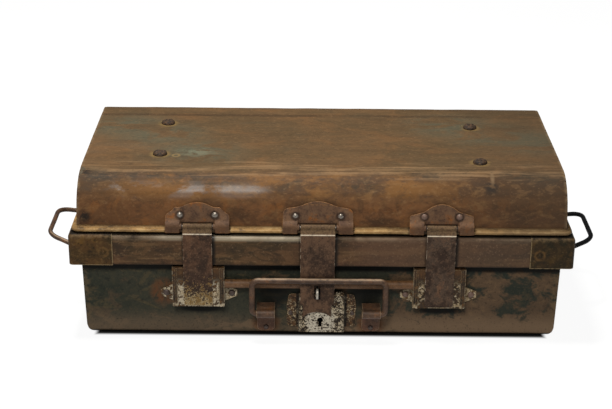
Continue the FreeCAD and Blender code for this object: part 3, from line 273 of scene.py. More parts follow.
def lid_paint():
    """Brown paint gone thin over rust: teal-grey round the studs, ochre and dark streaks on the shoulder."""
    f = Finish("lid_worn_paint", gloss=0.09)
    x, y, z = f.axes()
    broad = f.grain(8, 4, 0.6, (0.5, 1, 1), 3)
    patch = f.grain(22, 6, 0.65, (0.6, 1, 1), 11, 0.6)
    mottle = f.grain(85, 5, 0.65, (0.6, 1, 1), 15, 0.4)
    streak = f.grain(45, 4, 0.6, (0.12, 1, 1), 5, 0.3)
    fine = f.grain(260, 4, 0.65, (0.6, 1, 1), 8)
    smudge = f.grain(42, 5, 0.6, (0.8, 1, 0.5), 19, 0.8)
    lines = f.grain(150, 3, 0.55, (0.06, 1, 1), 23, 0.4)
    top = f.rise(z, 0.232, 0.249)
    wall = f.rise(z, 0.232, 0.205)
    turn = f.rise(z, 0.205, 0.225) * f.rise(z, 0.2497, 0.243)
    on_turn = f.layers(
        (86, 61, 38),
        (patch + 0.3 * mottle, 0.58, 0.74, (116, 80, 42)),
        (patch, 0.46, 0.34, 0.8, (66, 53, 37)),
        (x, 0.1, 0.28, 0.9, (64, 45, 29)),
        (x, -0.22, -0.33, 0.7, (70, 51, 32)),
    )
    on_wall = f.layers(
        (114, 77, 47),
        (patch, 0.45, 0.6, (86, 59, 37)),
        (x, -0.18, -0.3, 0.4, (114, 77, 47)),
        (patch, 0.45, 0.33, 0.8, (122, 78, 40)),
        (smudge, 0.53, 0.66, 0.55, (64, 45, 31)),
        (smudge, 0.46, 0.34, 0.45, (132, 84, 42)),
        (x, 0.12, 0.34, 0.6, (76, 56, 40)),
    )
    teal = f.any_near([(along, back, LID_TOP) for along, back in (
        (-0.3, 0.045), (-0.25, 0.01), (-0.19, -0.068), (0.2, 0.055), (0.26, 0.015), (0.32, -0.01),
    )], 0.01, 0.085, (0.75, 1, 1))
    pale_teal = f.near((-0.187, -0.069, LID_TOP), 0.004, 0.026, (0.6, 1, 1))
    dark = f.any_near([
        (-0.25, -0.149, 0.245), (-0.2, -0.153, 0.243), (-0.15, -0.158, 0.24), (0.05, -0.161, 0.236),
        (0.16, -0.146, 0.247), (0.29, -0.145, 0.247), (0.33, -0.15, 0.244), (-0.32, -0.151, 0.244),
    ], 0.002, 0.02, (0.3, 1, 1))
    blot = f.any_near([(-0.343, -0.143, 0.247), (-0.341, -0.174, 0.189), (0.243, -0.163, 0.235)],
                      0.003, 0.016)
    # Pale and dark streaks along the pressed ridges where the top turns into the front shoulder: painted
    # highlight and shade
    brow = f.rise(y, -0.098, -0.114) * f.rise(z, 0.239, 0.2455)
    ridge = f.rise(y, -0.118, -0.126) * f.rise(z, 0.244, 0.248)
    broken = 0.4 + 0.6 * f.rise(patch, 0.38, 0.58)
    scratch = f.near((0.245, -0.148, 0.245), 0.001, 0.0045, (1, 0.22, 0.22))
    # Darker line where the top turns into the rear shoulder: painted shade
    rear = f.rise(y, 0.091, 0.097) * f.rise(y, 0.108, 0.1) * f.rise(streak, 0.36, 0.5)
    lively = 1 - 0.6 * top
    halo = f.any_near(STUD_SPOTS, 0.0105, 0.019) * f.rise(mottle, 0.36, 0.52)
    pimple = f.ring((-0.216, -0.082, LID_TOP), 0.005, 0.003)
    colour = f.layers(
        (99, 76, 51),
        (broad, 0.44, 0.6, 0.8, (86, 69, 47)),
        (broad, 0.45, 0.3, 0.6, (98, 80, 60)),
        (streak, 0.5, 0.66, 0.35, (112, 85, 57)),
        (streak, 0.48, 0.34, 0.35, (78, 61, 42)),
        (patch, 0.5, 0.64, 0.45, (114, 82, 51)),
        (patch, 0.44, 0.32, 0.45, (82, 71, 53)),
        (teal * top * f.rise(patch, 0.38, 0.56) * 0.85, (83, 82, 66)),
        (pale_teal * f.rise(mottle, 0.4, 0.58), (104, 106, 88)),
        (turn, on_turn),
        (wall, on_wall),
        (dark * f.rise(mottle + 0.4 * streak, 0.6, 0.76) * 0.9, (54, 46, 35)),
        (blot * f.rise(mottle, 0.38, 0.5), (40, 32, 26)),
        (brow * f.rise(lines + 0.1 * ridge, 0.5, 0.66) * broken * 0.55, (148, 119, 87)),
        (brow * f.rise(lines, 0.46, 0.34) * broken * 0.4, (74, 58, 41)),
        (scratch * 0.7, (132, 108, 80)),
        (rear * 0.6, (62, 47, 33)),
        (f.rise(mottle, 0.52, 0.66) * lively * 0.38, (130, 98, 63)),
        (f.rise(mottle, 0.47, 0.33) * lively * 0.45, (60, 46, 33)),
        (fine, 0.55, 0.7, 0.34, (138, 108, 76)),
        (fine, 0.44, 0.3, 0.4, (52, 41, 31)),
        (halo * 0.85, (124, 101, 62)),
        (pimple * 0.9, (128, 107, 71)),
        (x, 0.15, 0.36, 0.35, (68, 56, 42)),
        (f.wear_and_highlight(mottle, 0.4, 0.55, 0.7), (130, 110, 84)),
        (f.attribute("inside"), inside_coat(f, patch, mottle)),
    )
    rough = 0.36 + 0.35 * patch + 0.25 * mottle
    shine = f.any_near([(-0.265, -0.166, 0.229), (-0.2, -0.166, 0.229), (-0.12, -0.166, 0.229)], 0.02, 0.055)
    polish = shine * f.rise(z, 0.213, 0.223) * f.rise(z, 0.24, 0.232)
    polish = polish * f.rise(patch + 0.3 * mottle, 0.76, 0.6)
    bump = 0.15 * streak + 0.45 * mottle + 0.3 * fine + 0.8 * pimple
    return f.set(colour, rough, bump, 0.0002, coat=0.02 + 0.62 * polish)


def tub_paint():
    """Dark green paint, scratched, flaked to brown on the right and at the foot, with painted shade under the
    band, below the catches, round the bail and along the floor line.
    """
    f = Finish("tub_worn_paint", gloss=0.07)
    x, _, z = f.axes()
    broad = f.grain(9, 4, 0.6, (0.7, 1, 1), 21)
    flake = f.grain(36, 6, 0.62, (0.75, 1, 1.1), 14, 0.5)
    mottle = f.grain(100, 5, 0.65, shift=24, warp=0.4)
    stroke = f.grain(60, 5, 0.65, (0.3, 1, 0.6), 7, 1.6)
    fine = f.grain(330, 4, 0.6, shift=4)
    left, right = f.rise(x, -0.02, -0.2), f.rise(x, 0.0, 0.24)
    foot = f.rise(z, 0.046, 0.012)
    bare = f.rise(flake + 0.12 * mottle + 0.11 * right + 0.05 * foot + 0.13 * foot * right
                  - 0.08 * f.rise(z, 0.085, 0.13), 0.6, 0.71)
    bare = bare | f.rise(z, 0.034, 0.012) * f.rise(mottle, 0.3, 0.55) * (0.5 + 0.25 * right)
    bare = bare * (1 - 0.55 * left)
    paint = f.layers(
        (42, 46, 38),
        (broad, 0.42, 0.6, (54, 54, 44)),
        (stroke, 0.54, 0.63, 0.6, (80, 70, 50)),
        (mottle, 0.52, 0.64, 0.4, (66, 62, 47)),
        (mottle, 0.46, 0.34, 0.6, (30, 33, 29)),
        (right * 0.5, (36, 42, 37)),
        (foot * left * 0.8, (92, 79, 64)),
    )
    rust = f.layers(
        (90, 72, 55),
        (mottle, 0.5, 0.62, 0.6, (108, 86, 63)),
        (broad, 0.45, 0.6, 0.5, (72, 58, 45)),
        (mottle, 0.45, 0.34, 0.6, (62, 50, 39)),
        (foot * 0.65, (126, 104, 82)),
    )
    stain = f.any_near([(-0.081, TUB_FRONT, 0.018), (0.074, TUB_FRONT, 0.018), (-0.231, TUB_FRONT, 0.07)],
                       0.012, 0.026)
    # Painted shade: near-black under the band's overhang, below the catches, round the bail's feet and along
    # the floor line
    under_band = f.rise(z + 0.004 * mottle, 0.104, 0.1095)
    under_catch = f.any_near([(-0.176, TUB_FRONT, 0.0425), (0.175, TUB_FRONT, 0.0425)],
                             0.004, 0.0085, (0.2, 1, 1))
    behind_bail = f.any_near([(-0.07, TUB_FRONT, 0.068), (0.067, TUB_FRONT, 0.068)], 0.015, 0.033)
    ground = f.rise(z, 0.0065, 0.0025)
    painted_shade = under_band | under_catch | ground | 0.9 * behind_bail
    colour = f.layers(
        paint,
        (bare, rust),
        (stain * f.rise(mottle, 0.34, 0.56) * 0.8, (98, 62, 38)),
        (fine, 0.56, 0.7, 0.35, (94, 80, 60)),
        (fine, 0.44, 0.3, 0.5, (28, 26, 23)),
        (f.wear_and_highlight(mottle, 0.44, 0.56, 0.5), (100, 84, 62)),
        (painted_shade * 0.88, (13, 13, 12)),
        (f.attribute("inside"), inside_coat(f, broad, mottle)),
    )
    rough = 0.5 + 0.15 * bare + 0.2 * mottle
    bump = 0.6 * flake + 0.3 * mottle + 0.3 * fine - 0.15 * bare
    return f.set(colour, rough, bump, 0.0003)


def band_paint():
    """Brown paint on the rim band, pale at its round edge from rubbing and a painted highlight, with painted
    shade on the ledge, along the lower edge and beside the hasps.
    """
    f = Finish("band_worn_paint", gloss=0.1)
    x, y, z = f.axes()
    broad = f.grain(12, 4, 0.6, (0.5, 0.5, 1), 17)
    mottle = f.grain(60, 5, 0.65, (0.5, 0.5, 1), 27, 0.6)
    streak = f.grain(80, 5, 0.65, (0.08, 0.08, 1), 9)
    fine = f.grain(300, 4, 0.65, shift=6)
    # Pale round upper edge: rubbed paint and a painted highlight, stronger round these spots
    rub_and_highlight_spots = f.any_near([(-0.13, -0.184, 0.16), (-0.05, -0.184, 0.16)], 0.015, 0.075)
    rub_and_highlight_spots = rub_and_highlight_spots | 0.6 * f.near((-0.21, -0.184, 0.16), 0.01, 0.045)
    crest = f.rise(0.3 * broad + 0.5 * mottle + 0.4 * streak + 0.16 * rub_and_highlight_spots, 0.5, 0.7)
    crest = crest * (0.22 + 0.78 * rub_and_highlight_spots) * f.rise(z, 0.155, 0.1605)
    # Painted shadow on the band beside each hasp, wider on its right
    beside = 0.0
    for side in HASPS:
        low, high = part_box(f"hasp_{side}")
        beside = beside + f.rise(x, high.x - 0.012, high.x) * f.rise(x, high.x + 0.007, high.x + 0.002)
        beside = beside + 0.5 * f.rise(x, low.x - 0.004, low.x - 0.001) * f.rise(x, low.x + 0.01, low.x)
    beside = beside * f.rise(y, -0.16, -0.17) * f.rise(mottle + 0.5 * fine, 0.38, 0.68)
    # Painted shade: beside the hasps, on the ledge under the lid's wired edge and along the band's lower edge
    painted_shade = beside | f.rise(z, 0.1634, 0.1646) | 0.7 * f.rise(z, 0.1215, 0.1185)
    colour = f.layers(
        (80, 57, 38),
        (broad, 0.44, 0.58, 0.8, (64, 51, 33)),
        (broad, 0.46, 0.34, 0.8, (94, 65, 47)),
        (streak, 0.53, 0.63, 0.65, (110, 84, 56)),
        (streak, 0.46, 0.36, 0.65, (52, 40, 28)),
        (mottle, 0.51, 0.62, 0.55, (104, 76, 50)),
        (mottle, 0.47, 0.37, 0.65, (46, 37, 27)),
        (f.rise(x, 0.02, 0.08) * f.rise(x, 0.3, 0.2) * 0.6, (98, 73, 56)),
        (x, 0.18, 0.26, 0.5, (82, 66, 53)),
        (fine, 0.56, 0.68, 0.35, (136, 110, 82)),
        (fine, 0.44, 0.3, 0.35, (40, 33, 25)),
        (crest * 0.95, (166, 152, 128)),
        (painted_shade * 0.9, (20, 17, 14)),
    )
    rough = 0.4 + 0.3 * broad + 0.2 * mottle - 0.1 * crest
    return f.set(colour, rough, 0.4 * streak + 0.4 * mottle + 0.3 * fine, 0.0002, coat=0.03 + 0.3 * crest)


def cap_paint():
    """Olive-brown paint on the band's corner caps, rust round the rivets, light along the cut edges."""
    f = Finish("cap_worn_paint", gloss=0.08)
    x, _, z = f.axes()
    patch = f.grain(45, 5, 0.62, shift=31)
    mottle = f.grain(130, 5, 0.65, shift=33)
    fine = f.grain(320, 4, 0.6, shift=12)
    rings = 0.0
    for kx in SIDES.values():
        for ky in (-1, 1):
            rings = rings + f.ring((kx * 0.3155, ky * 0.186, 0.1385), 0.0068, 0.0032)
    colour = f.layers(
        (70, 51, 30),
        (patch, 0.46, 0.58, (48, 41, 26)),
        (patch, 0.44, 0.34, (96, 70, 32)),
        (x, -0.28, -0.33, 0.3, (98, 68, 34)),
        (mottle, 0.52, 0.64, 0.7, (98, 74, 42)),
        (mottle, 0.46, 0.34, 0.7, (34, 28, 20)),
        (x, 0.2, 0.34, 0.6, (38, 33, 22)),
        (fine, 0.56, 0.7, 0.4, (112, 90, 60)),
        (rings * f.rise(mottle, 0.3, 0.6) * 0.75, (100, 74, 42)),
        # Paler round upper edge: rubbed paint and a painted highlight, as on the band
        (f.rise(z, 0.157, 0.162) * f.rise(mottle, 0.4, 0.6) * 0.5, (112, 92, 66)),
        (f.wear_and_highlight(fine, 0.28, 0.46, 0.85), (158, 137, 102)),
        # Painted shade on the ledge under the lid's wired edge
        (z, 0.1645, 0.1657, 0.9, (14, 12, 10)),
    )
    return f.set(colour, 0.45 + 0.25 * patch, 0.4 * patch + 0.4 * mottle + 0.3 * fine + 0.6 * rings, 0.0004)


def bead_paint():
    """Ochre paint on the lid's wired edge, rubbed pale in places, with painted shade under the hasp plates.
    """
    f = Finish("bead_worn_paint", gloss=0.15)
    x, y, z = f.axes()
    patch = f.grain(30, 5, 0.62, (0.4, 0.4, 1), 41)
    mottle = f.grain(140, 5, 0.65, (0.4, 0.4, 1), 43)
    fine = f.grain(400, 4, 0.6, (0.4, 0.4, 1), 13)
    # Painted shade on the wired edge where the hasp plates hang over it
    under = [f.behind(x, f"hasp_plate_{side}", -0.001) * f.rise(y, -0.16, -0.17) for side in HASPS]
    colour = f.layers(
        (150, 116, 70),
        (patch, 0.46, 0.6, 0.8, (112, 86, 52)),
        (mottle, 0.52, 0.64, 0.6, (184, 154, 104)),
        (mottle, 0.46, 0.34, 0.7, (70, 55, 37)),
        (fine, 0.54, 0.68, 0.5, (172, 146, 104)),
        (x, 0.05, 0.34, 0.5, (98, 82, 60)),
        (z, 0.1735, 0.1775, 0.8, (92, 68, 44)),
        *[(mask * 0.85, (24, 18, 13)) for mask in under],
    )
    return f.set(colour, 0.4 + 0.25 * patch + 0.1 * fine, 0.6 * mottle + 0.4 * fine, 0.0004)


def hasp_steel():
    """Dark brown steel of the hasps, pale along edges from wear and across the bend from rubbing and a
    painted highlight, painted shade in the padlock slot, cream flecks at the left one's end.
    """
    f = Finish("hasp_dark_steel", gloss=0.08)
    x, _, z = f.axes()
    patch = f.grain(40, 5, 0.62, (1, 1, 0.6), 51)
    mottle = f.grain(150, 5, 0.65, shift=53)
    pit = f.grain(420, 3, 0.6, shift=15)
    left, right = f.rise(x, -0.1, -0.13), f.rise(x, 0.1, 0.13)
    left_end = left * f.rise(pit + mottle + 7.5 * (0.0815 - z), 1.02, 1.1)
    # Pale line across the bend: rubbed paint and a painted highlight
    bend = f.rise(z, 0.1678, 0.1686) * f.rise(z, 0.1702, 0.1693) * (0.6 + 0.4 * f.rise(mottle, 0.36, 0.5))
    fold = f.rise(z, 0.1695, 0.171)
    slot_x, _ = span("padlock_staple")
    # Painted shade in and round the padlock slot
    slot = f.rise(abs(x - slot_x), 0.0052, 0.0042) * f.rise(z, 0.066, 0.0675) * f.rise(z, 0.0895, 0.088)
    edge = f.attribute("wear_and_highlight") * f.rise(mottle, 0.48, 0.62) * f.rise(z, 0.171, 0.168) * (1 - slot)
    wear_and_highlight = edge * 0.5 | bend
    colour = f.layers(
        (97, 73, 56),
        (left * 0.7, (86, 60, 44)),
        (right * 0.8, (76, 63, 53)),
        (left * f.rise(z, 0.135, 0.085) * 0.8, (50, 38, 33)),
        (patch, 0.46, 0.6, 0.9, (56, 42, 34)),
        (patch, 0.44, 0.32, 0.9, (108, 78, 57)),
        (mottle, 0.52, 0.62, 0.5, (102, 78, 60)),
        (mottle, 0.47, 0.37, 0.55, (44, 34, 28)),
        (pit, 0.57, 0.66, 0.6, (30, 24, 21)),
        (pit, 0.42, 0.33, 0.4, (134, 108, 84)),
        (fold * 0.75, f.layers((102, 82, 56), (pit, 0.42, 0.6, (76, 59, 42)))),
        (left_end * 0.9, f.layers((178, 158, 120), (mottle, 0.42, 0.58, (124, 98, 58)))),
        (slot * 0.9, (14, 12, 11)),
        (wear_and_highlight * 0.95, (226, 210, 186)),
    )
    rough = 0.42 + 0.25 * patch + 0.15 * mottle - 0.1 * wear_and_highlight
    return f.set(colour, rough, 0.3 * mottle + 0.7 * pit, 0.0003)


def plate_steel():
    """Rusty brown hasp plates, orange at their edges, dark round the rivets, with painted shade just above
    each hasp.
    """
    f = Finish("plate_rusty_steel", gloss=0.1)
    x, _, z = f.axes()
    patch = f.grain(50, 5, 0.62, shift=61)
    mottle = f.grain(150, 5, 0.65, shift=63)
    pit = f.grain(450, 3, 0.6, shift=22)
    rivets = [(low + high) / 2 for low, high in solid_places("hasp_plate_rivets")]
    # Painted shade on the plate in the gap above each hasp's roll
    behind = [f.behind(x, f"hasp_{side}", 0.001) * f.rise(z, 0.1842, 0.182) for side in HASPS]
    colour = f.layers(
        (108, 80, 59),
        (patch, 0.46, 0.6, (88, 65, 50)),
        (patch, 0.44, 0.32, (134, 84, 44)),
        (mottle, 0.52, 0.64, 0.5, (116, 90, 66)),
        (mottle, 0.46, 0.34, 0.6, (56, 42, 34)),
        (z, 0.188, 0.178, 0.6, (84, 58, 38)),
        (pit, 0.57, 0.7, 0.5, (50, 38, 31)),
        (pit, 0.42, 0.3, 0.4, (132, 108, 84)),
        (f.any_near(rivets, 0.0062, 0.0085) * 0.75, (44, 33, 26)),
        (f.wear_and_highlight(mottle, 0.38, 0.56, 0.8), (158, 112, 66)),
        *[(mask * 0.85, (22, 17, 14)) for mask in behind],
    )
    return f.set(colour, 0.45 + 0.25 * patch, 0.5 * pit + 0.5 * mottle, 0.0004)


def speckled_enamel():
    """Cream coat flaked off dark iron: specks on the lock case, strips and ears on the catches."""
    f = Finish("catch_speckled_enamel", gloss=0.12)
    x, y, z = f.axes()
    patch = f.grain(60, 4, 0.6, shift=71)
    flake = f.grain(200, 5, 0.62, shift=25, warp=0.4)
    speck = f.grain(300, 2, 0.5, shift=28, warp=1.2)
    fine = f.grain(600, 3, 0.55, shift=29)
    side = f.rise(abs(x), 0.08, 0.1)
    right = f.rise(x, 0.08, 0.1)
    from_catch = abs(x + 0.179) & abs(x - 0.1725)
    from_lock = abs(x - 0.001)
    strip = f.rise(from_catch, 0.016, 0.02) * f.rise(from_catch, 0.0325, 0.0285) * f.rise(z, 0.1, 0.084)
    ear = f.rise(from_catch, 0.0365, 0.0385)
    sill = f.rise(z, 0.061, 0.0555)
    on_catch = side * (strip | ear | sill) * f.rise(flake + 0.3 * patch - 0.1 * right * strip, 0.56, 0.66)
    crown = f.near((-0.001, -0.187, 0.03), 0.019, 0.026)
    lock_ear = (1 - side) * f.rise(from_lock, 0.0345, 0.037)
    # Painted shade on the back plate beside the case
    beside_box = (1 - side) * f.rise(from_lock, 0.0322, 0.0335) * f.rise(from_lock, 0.0385, 0.0365)
    lock_specks = speck + 0.45 * patch - 0.07 * crown + 0.04 * f.rise(z, 0.05, 0.066) + 0.05 * lock_ear
    on_lock = (1 - side) * f.rise(lock_specks, 0.735, 0.68)
    cream = on_catch | on_lock
    # Painted shade: near-black inside the keyhole
    hole = f.near((-0.0009, -0.18, 0.03), 0.0095, 0.01, (1, 0, 1)) * f.rise(y, -0.1864, -0.1858)
    iron = f.layers(
        (58, 45, 33),
        (patch, 0.46, 0.6, (40, 32, 25)),
        (flake, 0.46, 0.36, 0.8, (104, 74, 42)),
        (side * f.rise(z, 0.092, 0.112) * f.rise(patch, 0.4, 0.6) * 0.5, (106, 73, 42)),
        ((1 - side) * 0.6, (34, 28, 22)),
        (fine, 0.55, 0.7, 0.4, (100, 80, 58)),
        (lock_ear * 0.7, f.layers((98, 70, 44), (flake, 0.44, 0.58, (46, 35, 26)))),
    )
    coat = f.layers(
        (190, 176, 150),
        (patch, 0.46, 0.58, 0.6, (158, 136, 100)),
        (crown * 0.6, (206, 199, 184)),
        ((lock_ear | right * 0.8) * 0.6, (146, 120, 80)),
        (fine, 0.54, 0.66, 0.6, (210, 200, 180)),
        (fine, 0.45, 0.35, 0.7, (90, 76, 56)),
    )
    colour = f.layers(
        iron,
        (cream * 0.95, coat),
        (f.wear_and_highlight(fine, 0.42, 0.58, 0.5), (160, 138, 104)),
        (beside_box * 0.8, (26, 21, 17)),
        (hole, (8, 7, 6)),
    )
    return f.set(colour, 0.5 + 0.2 * patch - 0.08 * cream, 0.7 * cream + 0.4 * flake + 0.2 * fine, 0.0004)


def rusty_wire():
    """Brown rust on wire, loops and tube, pale where the mesh marks it: worn edges, and along the top of
    drawn wire rubbed wear with a painted highlight.
    """
    f = Finish("rusty_wire", gloss=0.2)
    x, y, z = f.axes()
    patch = f.grain(45, 5, 0.62, shift=81)
    mottle = f.grain(140, 5, 0.65, shift=83)
    pit = f.grain(420, 3, 0.6, shift=32)
    middle = f.rise(abs(x), 0.2, 0.19)
    tube = f.rise(y, -0.187, -0.185) * f.rise(z, 0.077, 0.08) * middle
    tab = f.rise(z, 0.046, 0.036) * middle
    colour = f.layers(
        (84, 61, 45),
        (patch, 0.46, 0.6, (66, 48, 36)),
        (patch, 0.44, 0.32, (108, 70, 40)),
        (tube * 0.7, (116, 80, 46)),
        (tab * 0.7, (96, 60, 38)),
        (mottle, 0.52, 0.64, 0.4, (114, 86, 64)),
        (mottle, 0.46, 0.34, 0.5, (50, 38, 30)),
        (pit, 0.56, 0.68, 0.6, (52, 39, 32)),
        (pit, 0.42, 0.3, 0.4, (146, 120, 98)),
        # Pale where the mesh marks wear, and along the top of drawn wire a painted highlight
        (f.attribute("wear_and_highlight") * (0.4 + 0.6 * f.rise(mottle, 0.3, 0.5)) * 0.6, (186, 158, 126)),
    )
    return f.set(colour, 0.4 + 0.25 * patch, 0.5 * pit + 0.5 * mottle, 0.0004)


def black_wire():
    """Near-black lacquer on the right handle, worn to iron in places."""
    f = Finish("black_wire", gloss=0.12)
    patch = f.grain(50, 5, 0.62, shift=91)
    pit = f.grain(420, 3, 0.6, shift=35)
    colour = f.layers(
        (8, 10, 11),
        (patch, 0.5, 0.62, 0.7, (17, 18, 18)),
        (pit, 0.61, 0.7, 0.5, (44, 38, 33)),
    )
    return f.set(colour, 0.4 + 0.3 * patch, 0.5 * pit + 0.5 * patch, 0.0004)


def rivet_steel(name, wear):
    """Rivet heads: steel rubbed bright by wear, brown rust elsewhere."""
    f = Finish(name)
    x, _, _ = f.axes()
    patch = f.grain(90, 4, 0.6, shift=101)
    pit = f.grain(600, 3, 0.6, shift=38)
    right = f.rise(x, 0.08, 0.14)
    rust = f.rise(pit + 0.6 * patch + 0.5 * right, wear, wear + 0.12)
    colour = f.layers((150, 142, 132), (rust, f.layers((66, 48, 38), (right, (106, 80, 66)))))
    return f.set(colour, 0.34 + 0.2 * rust, 0.6 * pit + 0.4 * patch, 0.0003, 0.8 - 0.7 * rust)


def stud_iron():
    """Dark lumpy rust on the lid's studs."""
    f = Finish("stud_dark_iron", gloss=0.2)
    lump = f.grain(200, 4, 0.65, shift=111)
    pit = f.grain(520, 3, 0.6, shift=42)
    colour = f.layers(
        (68, 50, 36),
        (lump, 0.46, 0.58, (40, 31, 25)),
        (lump, 0.44, 0.32, (100, 72, 44)),
        (pit, 0.57, 0.7, 0.6, (120, 96, 64)),
    )
    return f.set(colour, 0.6 + 0.2 * lump, 0.7 * lump + 0.3 * pit, 0.0012)


def bare_steel():
    """Dull grey-brown steel of bolts, pins and eyes."""
    f = Finish("bare_dull_steel", metallic=0.7)
    patch = f.grain(120, 4, 0.6, shift=121)
    pit = f.grain(600, 3, 0.6, (0.3, 1, 1), 45)
    colour = f.layers(
        (150, 144, 136),
        (patch, 0.46, 0.6, (110, 98, 84)),
        (pit, 0.57, 0.7, 0.6, (76, 62, 50)),
    )
    return f.set(colour, 0.4 + 0.2 * patch, pit, 0.0002)


def staple_steel():
    """Dark staple with a pale strip down its front, rubbed steel and a painted highlight."""
    f = Finish("staple_dull_steel", metallic=0.4)
    x, y, _ = f.axes()
    low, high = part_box("padlock_staple")
    pit = f.grain(600, 3, 0.6, shift=48)
    # Pale strip down the front: rubbed steel and a painted highlight
    front = f.rise(abs(x - (low.x + high.x) / 2), 0.0019, 0.0009) * f.rise(y, low.y + 0.007, low.y + 0.004)
    colour = f.layers((34, 29, 25), (front * f.rise(pit, 0.3, 0.5), (196, 188, 174)))
    return f.set(colour, 0.42 + 0.2 * pit, pit, 0.0002)


# Mesh helpers

def new_bmesh():
    """An empty bmesh with the layers that the finishes read."""
    bm = bmesh.new()
    bm.loops.layers.float.new("wear_and_highlight")
    bm.loops.layers.float.new("inside")
    return bm


def verts_of(made):
    """The vertices in an operator's result."""
    return [item for item in made["geom"] if isinstance(item, bmesh.types.BMVert)]


def move(bm, verts, way):
    """Moves vertices by a way."""
    bmesh.ops.translate(bm, verts=verts, vec=way)


def face_out(bm):
    """Turns all faces outward."""
    bmesh.ops.recalc_face_normals(bm, faces=bm.faces[:])


def join_flat(bm):
    """Joins neighbouring faces that lie in one plane."""
    bmesh.ops.dissolve_limit(bm, angle_limit=math.radians(1), verts=bm.verts[:], edges=bm.edges[:])


def merge(bm, reach=1e-6):
    """Joins vertices that lie in one place."""
    bmesh.ops.remove_doubles(bm, verts=bm.verts[:], dist=reach)


def cut(bm, place, normal):
    """Cuts the faces along a plane; nothing is taken away."""
    bmesh.ops.bisect_plane(bm, geom=bm.verts[:] + bm.edges[:] + bm.faces[:], plane_co=place, plane_no=normal)


def rotate(bm, verts, degrees, axis):
    """Turns vertices about an axis through the origin."""
    bmesh.ops.rotate(bm, verts=verts, cent=(0, 0, 0), matrix=Matrix.Rotation(math.radians(degrees), 3, axis))


def outline(bm, corners):
    """The edges of a closed outline; corners are (place, radius of the corner)."""
    verts = [bm.verts.new(place) for place, _ in corners]
    bm.faces.new(verts)
    for vert, (_, radius) in zip(verts, corners):
        if radius:
            bmesh.ops.bevel(bm, geom=[vert], offset=radius, offset_type="OFFSET", segments=6, profile=0.5,
                            affect="VERTICES", material=-1)
    bmesh.ops.delete(bm, geom=bm.faces[:], context="FACES_ONLY")
    return bm.edges[:]


def fold_line(bm, points):
    """The edges of an open line of folds across the trunk; points are (y, z, radius of the fold)."""
    outline(bm, [((0, y, z), radius) for y, z, radius in points])
    bm.verts.ensure_lookup_table()
    ends = [min(bm.verts, key=lambda v: (v.co - Vector((0, y, z))).length)
            for y, z, _ in (points[0], points[-1])]
    bmesh.ops.delete(bm, geom=[bm.edges.get(ends)], context="EDGES")


def divide(bm, edges, step):
    """Divides edges into parts of about one step."""
    by_cuts = {}
    for edge in edges:
        by_cuts.setdefault(int(edge.calc_length() / step), []).append(edge)
    for cuts, group in by_cuts.items():
        if cuts:
            bmesh.ops.subdivide_edges(bm, edges=group, cuts=cuts, use_grid_fill=True)


def folded_sheet(points, half, step=0.006):
    """A sheet with folds along X, from -half to half, divided so that it can take dents."""
    bm = new_bmesh()
    fold_line(bm, points)
    divide(bm, bm.edges[:], step)
    move(bm, bm.verts[:], (-half, 0, 0))
    grown = bmesh.ops.extrude_edge_only(bm, edges=bm.edges[:])
    move(bm, verts_of(grown), (2 * half, 0, 0))
    divide(bm, [e for e in bm.edges if abs(e.verts[0].co.x - e.verts[1].co.x) > half], step)
    face_out(bm)
    return bm


def bump_at(value, centre, width):
    """A smooth bump of height 1 at centre."""
    return math.exp(-((value - centre) / width) ** 2)


def share_of(value, whole):
    """How much of a whole a value makes, from 0 to 1."""
    return min(max(value / whole, 0), 1)


def batter(bm, depth, size, seed, hollows=()):
    """Pushes a sheet in by soft uneven dents; hollows are (place, radius, depth)."""
    bm.normal_update()
    for vert in bm.verts:
        spot = vert.co / size + Vector((seed, seed * 0.37, -seed))
        push = depth * (0.5 + 0.5 * noise.noise(spot) + 0.3 * noise.noise(spot * 2.3))
        for place, radius, deep in hollows:
            push += deep * bump_at((vert.co - Vector(place)).length, 0, radius)
        vert.co -= vert.normal * max(push, 0)


def mark(bm, layer, faces, test=None):
    """Marks the corners of faces, all of them or those whose place passes a test."""
    key = bm.loops.layers.float[layer]
    for face in faces:
        for loop in face.loops:
            if test is None or test(loop.vert.co):
                loop[key] = 1.0


def soften(bm, width, angle=30):
    """Rounds sharp edges and marks the new faces as worn."""
    limit = math.radians(angle)
    sharp = [e for e in bm.edges if len(e.link_faces) == 2 and e.calc_face_angle() > limit]
    made = bmesh.ops.bevel(bm, geom=sharp, offset=width, offset_type="OFFSET", segments=2, profile=0.5,
                           affect="EDGES", clamp_overlap=False, material=-1)
    mark(bm, "wear_and_highlight", made["faces"])


def draw_along(bm, edges, spot, heading, up, legs):
    """Draws a section along a path; a leg is a length, or a bend as (radius, degrees)."""
    spot, heading, up = Vector(spot), Vector(heading), Vector(up)
    for leg in legs:
        if isinstance(leg, tuple):
            radius, angle = leg[0], math.radians(leg[1])
            centre = spot + up.cross(heading) * math.copysign(radius, angle)
            made = bmesh.ops.spin(bm, geom=edges, cent=centre, axis=up, angle=angle,
                                  steps=max(4, int(abs(leg[1]) / 9)), use_duplicate=False)
            edges = [e for e in made["geom_last"] if isinstance(e, bmesh.types.BMEdge)]
            turn = Matrix.Rotation(angle, 3, up)
            spot, heading = centre + turn @ (spot - centre), turn @ heading
        else:
            made = bmesh.ops.extrude_edge_only(bm, edges=edges)
            moved = verts_of(made)
            move(bm, moved, heading * leg)
            ends = set(moved)
            edges = [e for e in made["geom"]
                     if isinstance(e, bmesh.types.BMEdge) and ends.issuperset(e.verts)]
            spot = spot + heading * leg


def worn_copy(node, width, angle=30):
    """A CAD part's mesh with its edges rounded by use."""
    bm = new_bmesh()
    bm.from_mesh(frame["nodes"][node].data)
    merge(bm)
    join_flat(bm)
    soften(bm, width, angle)
    return bm


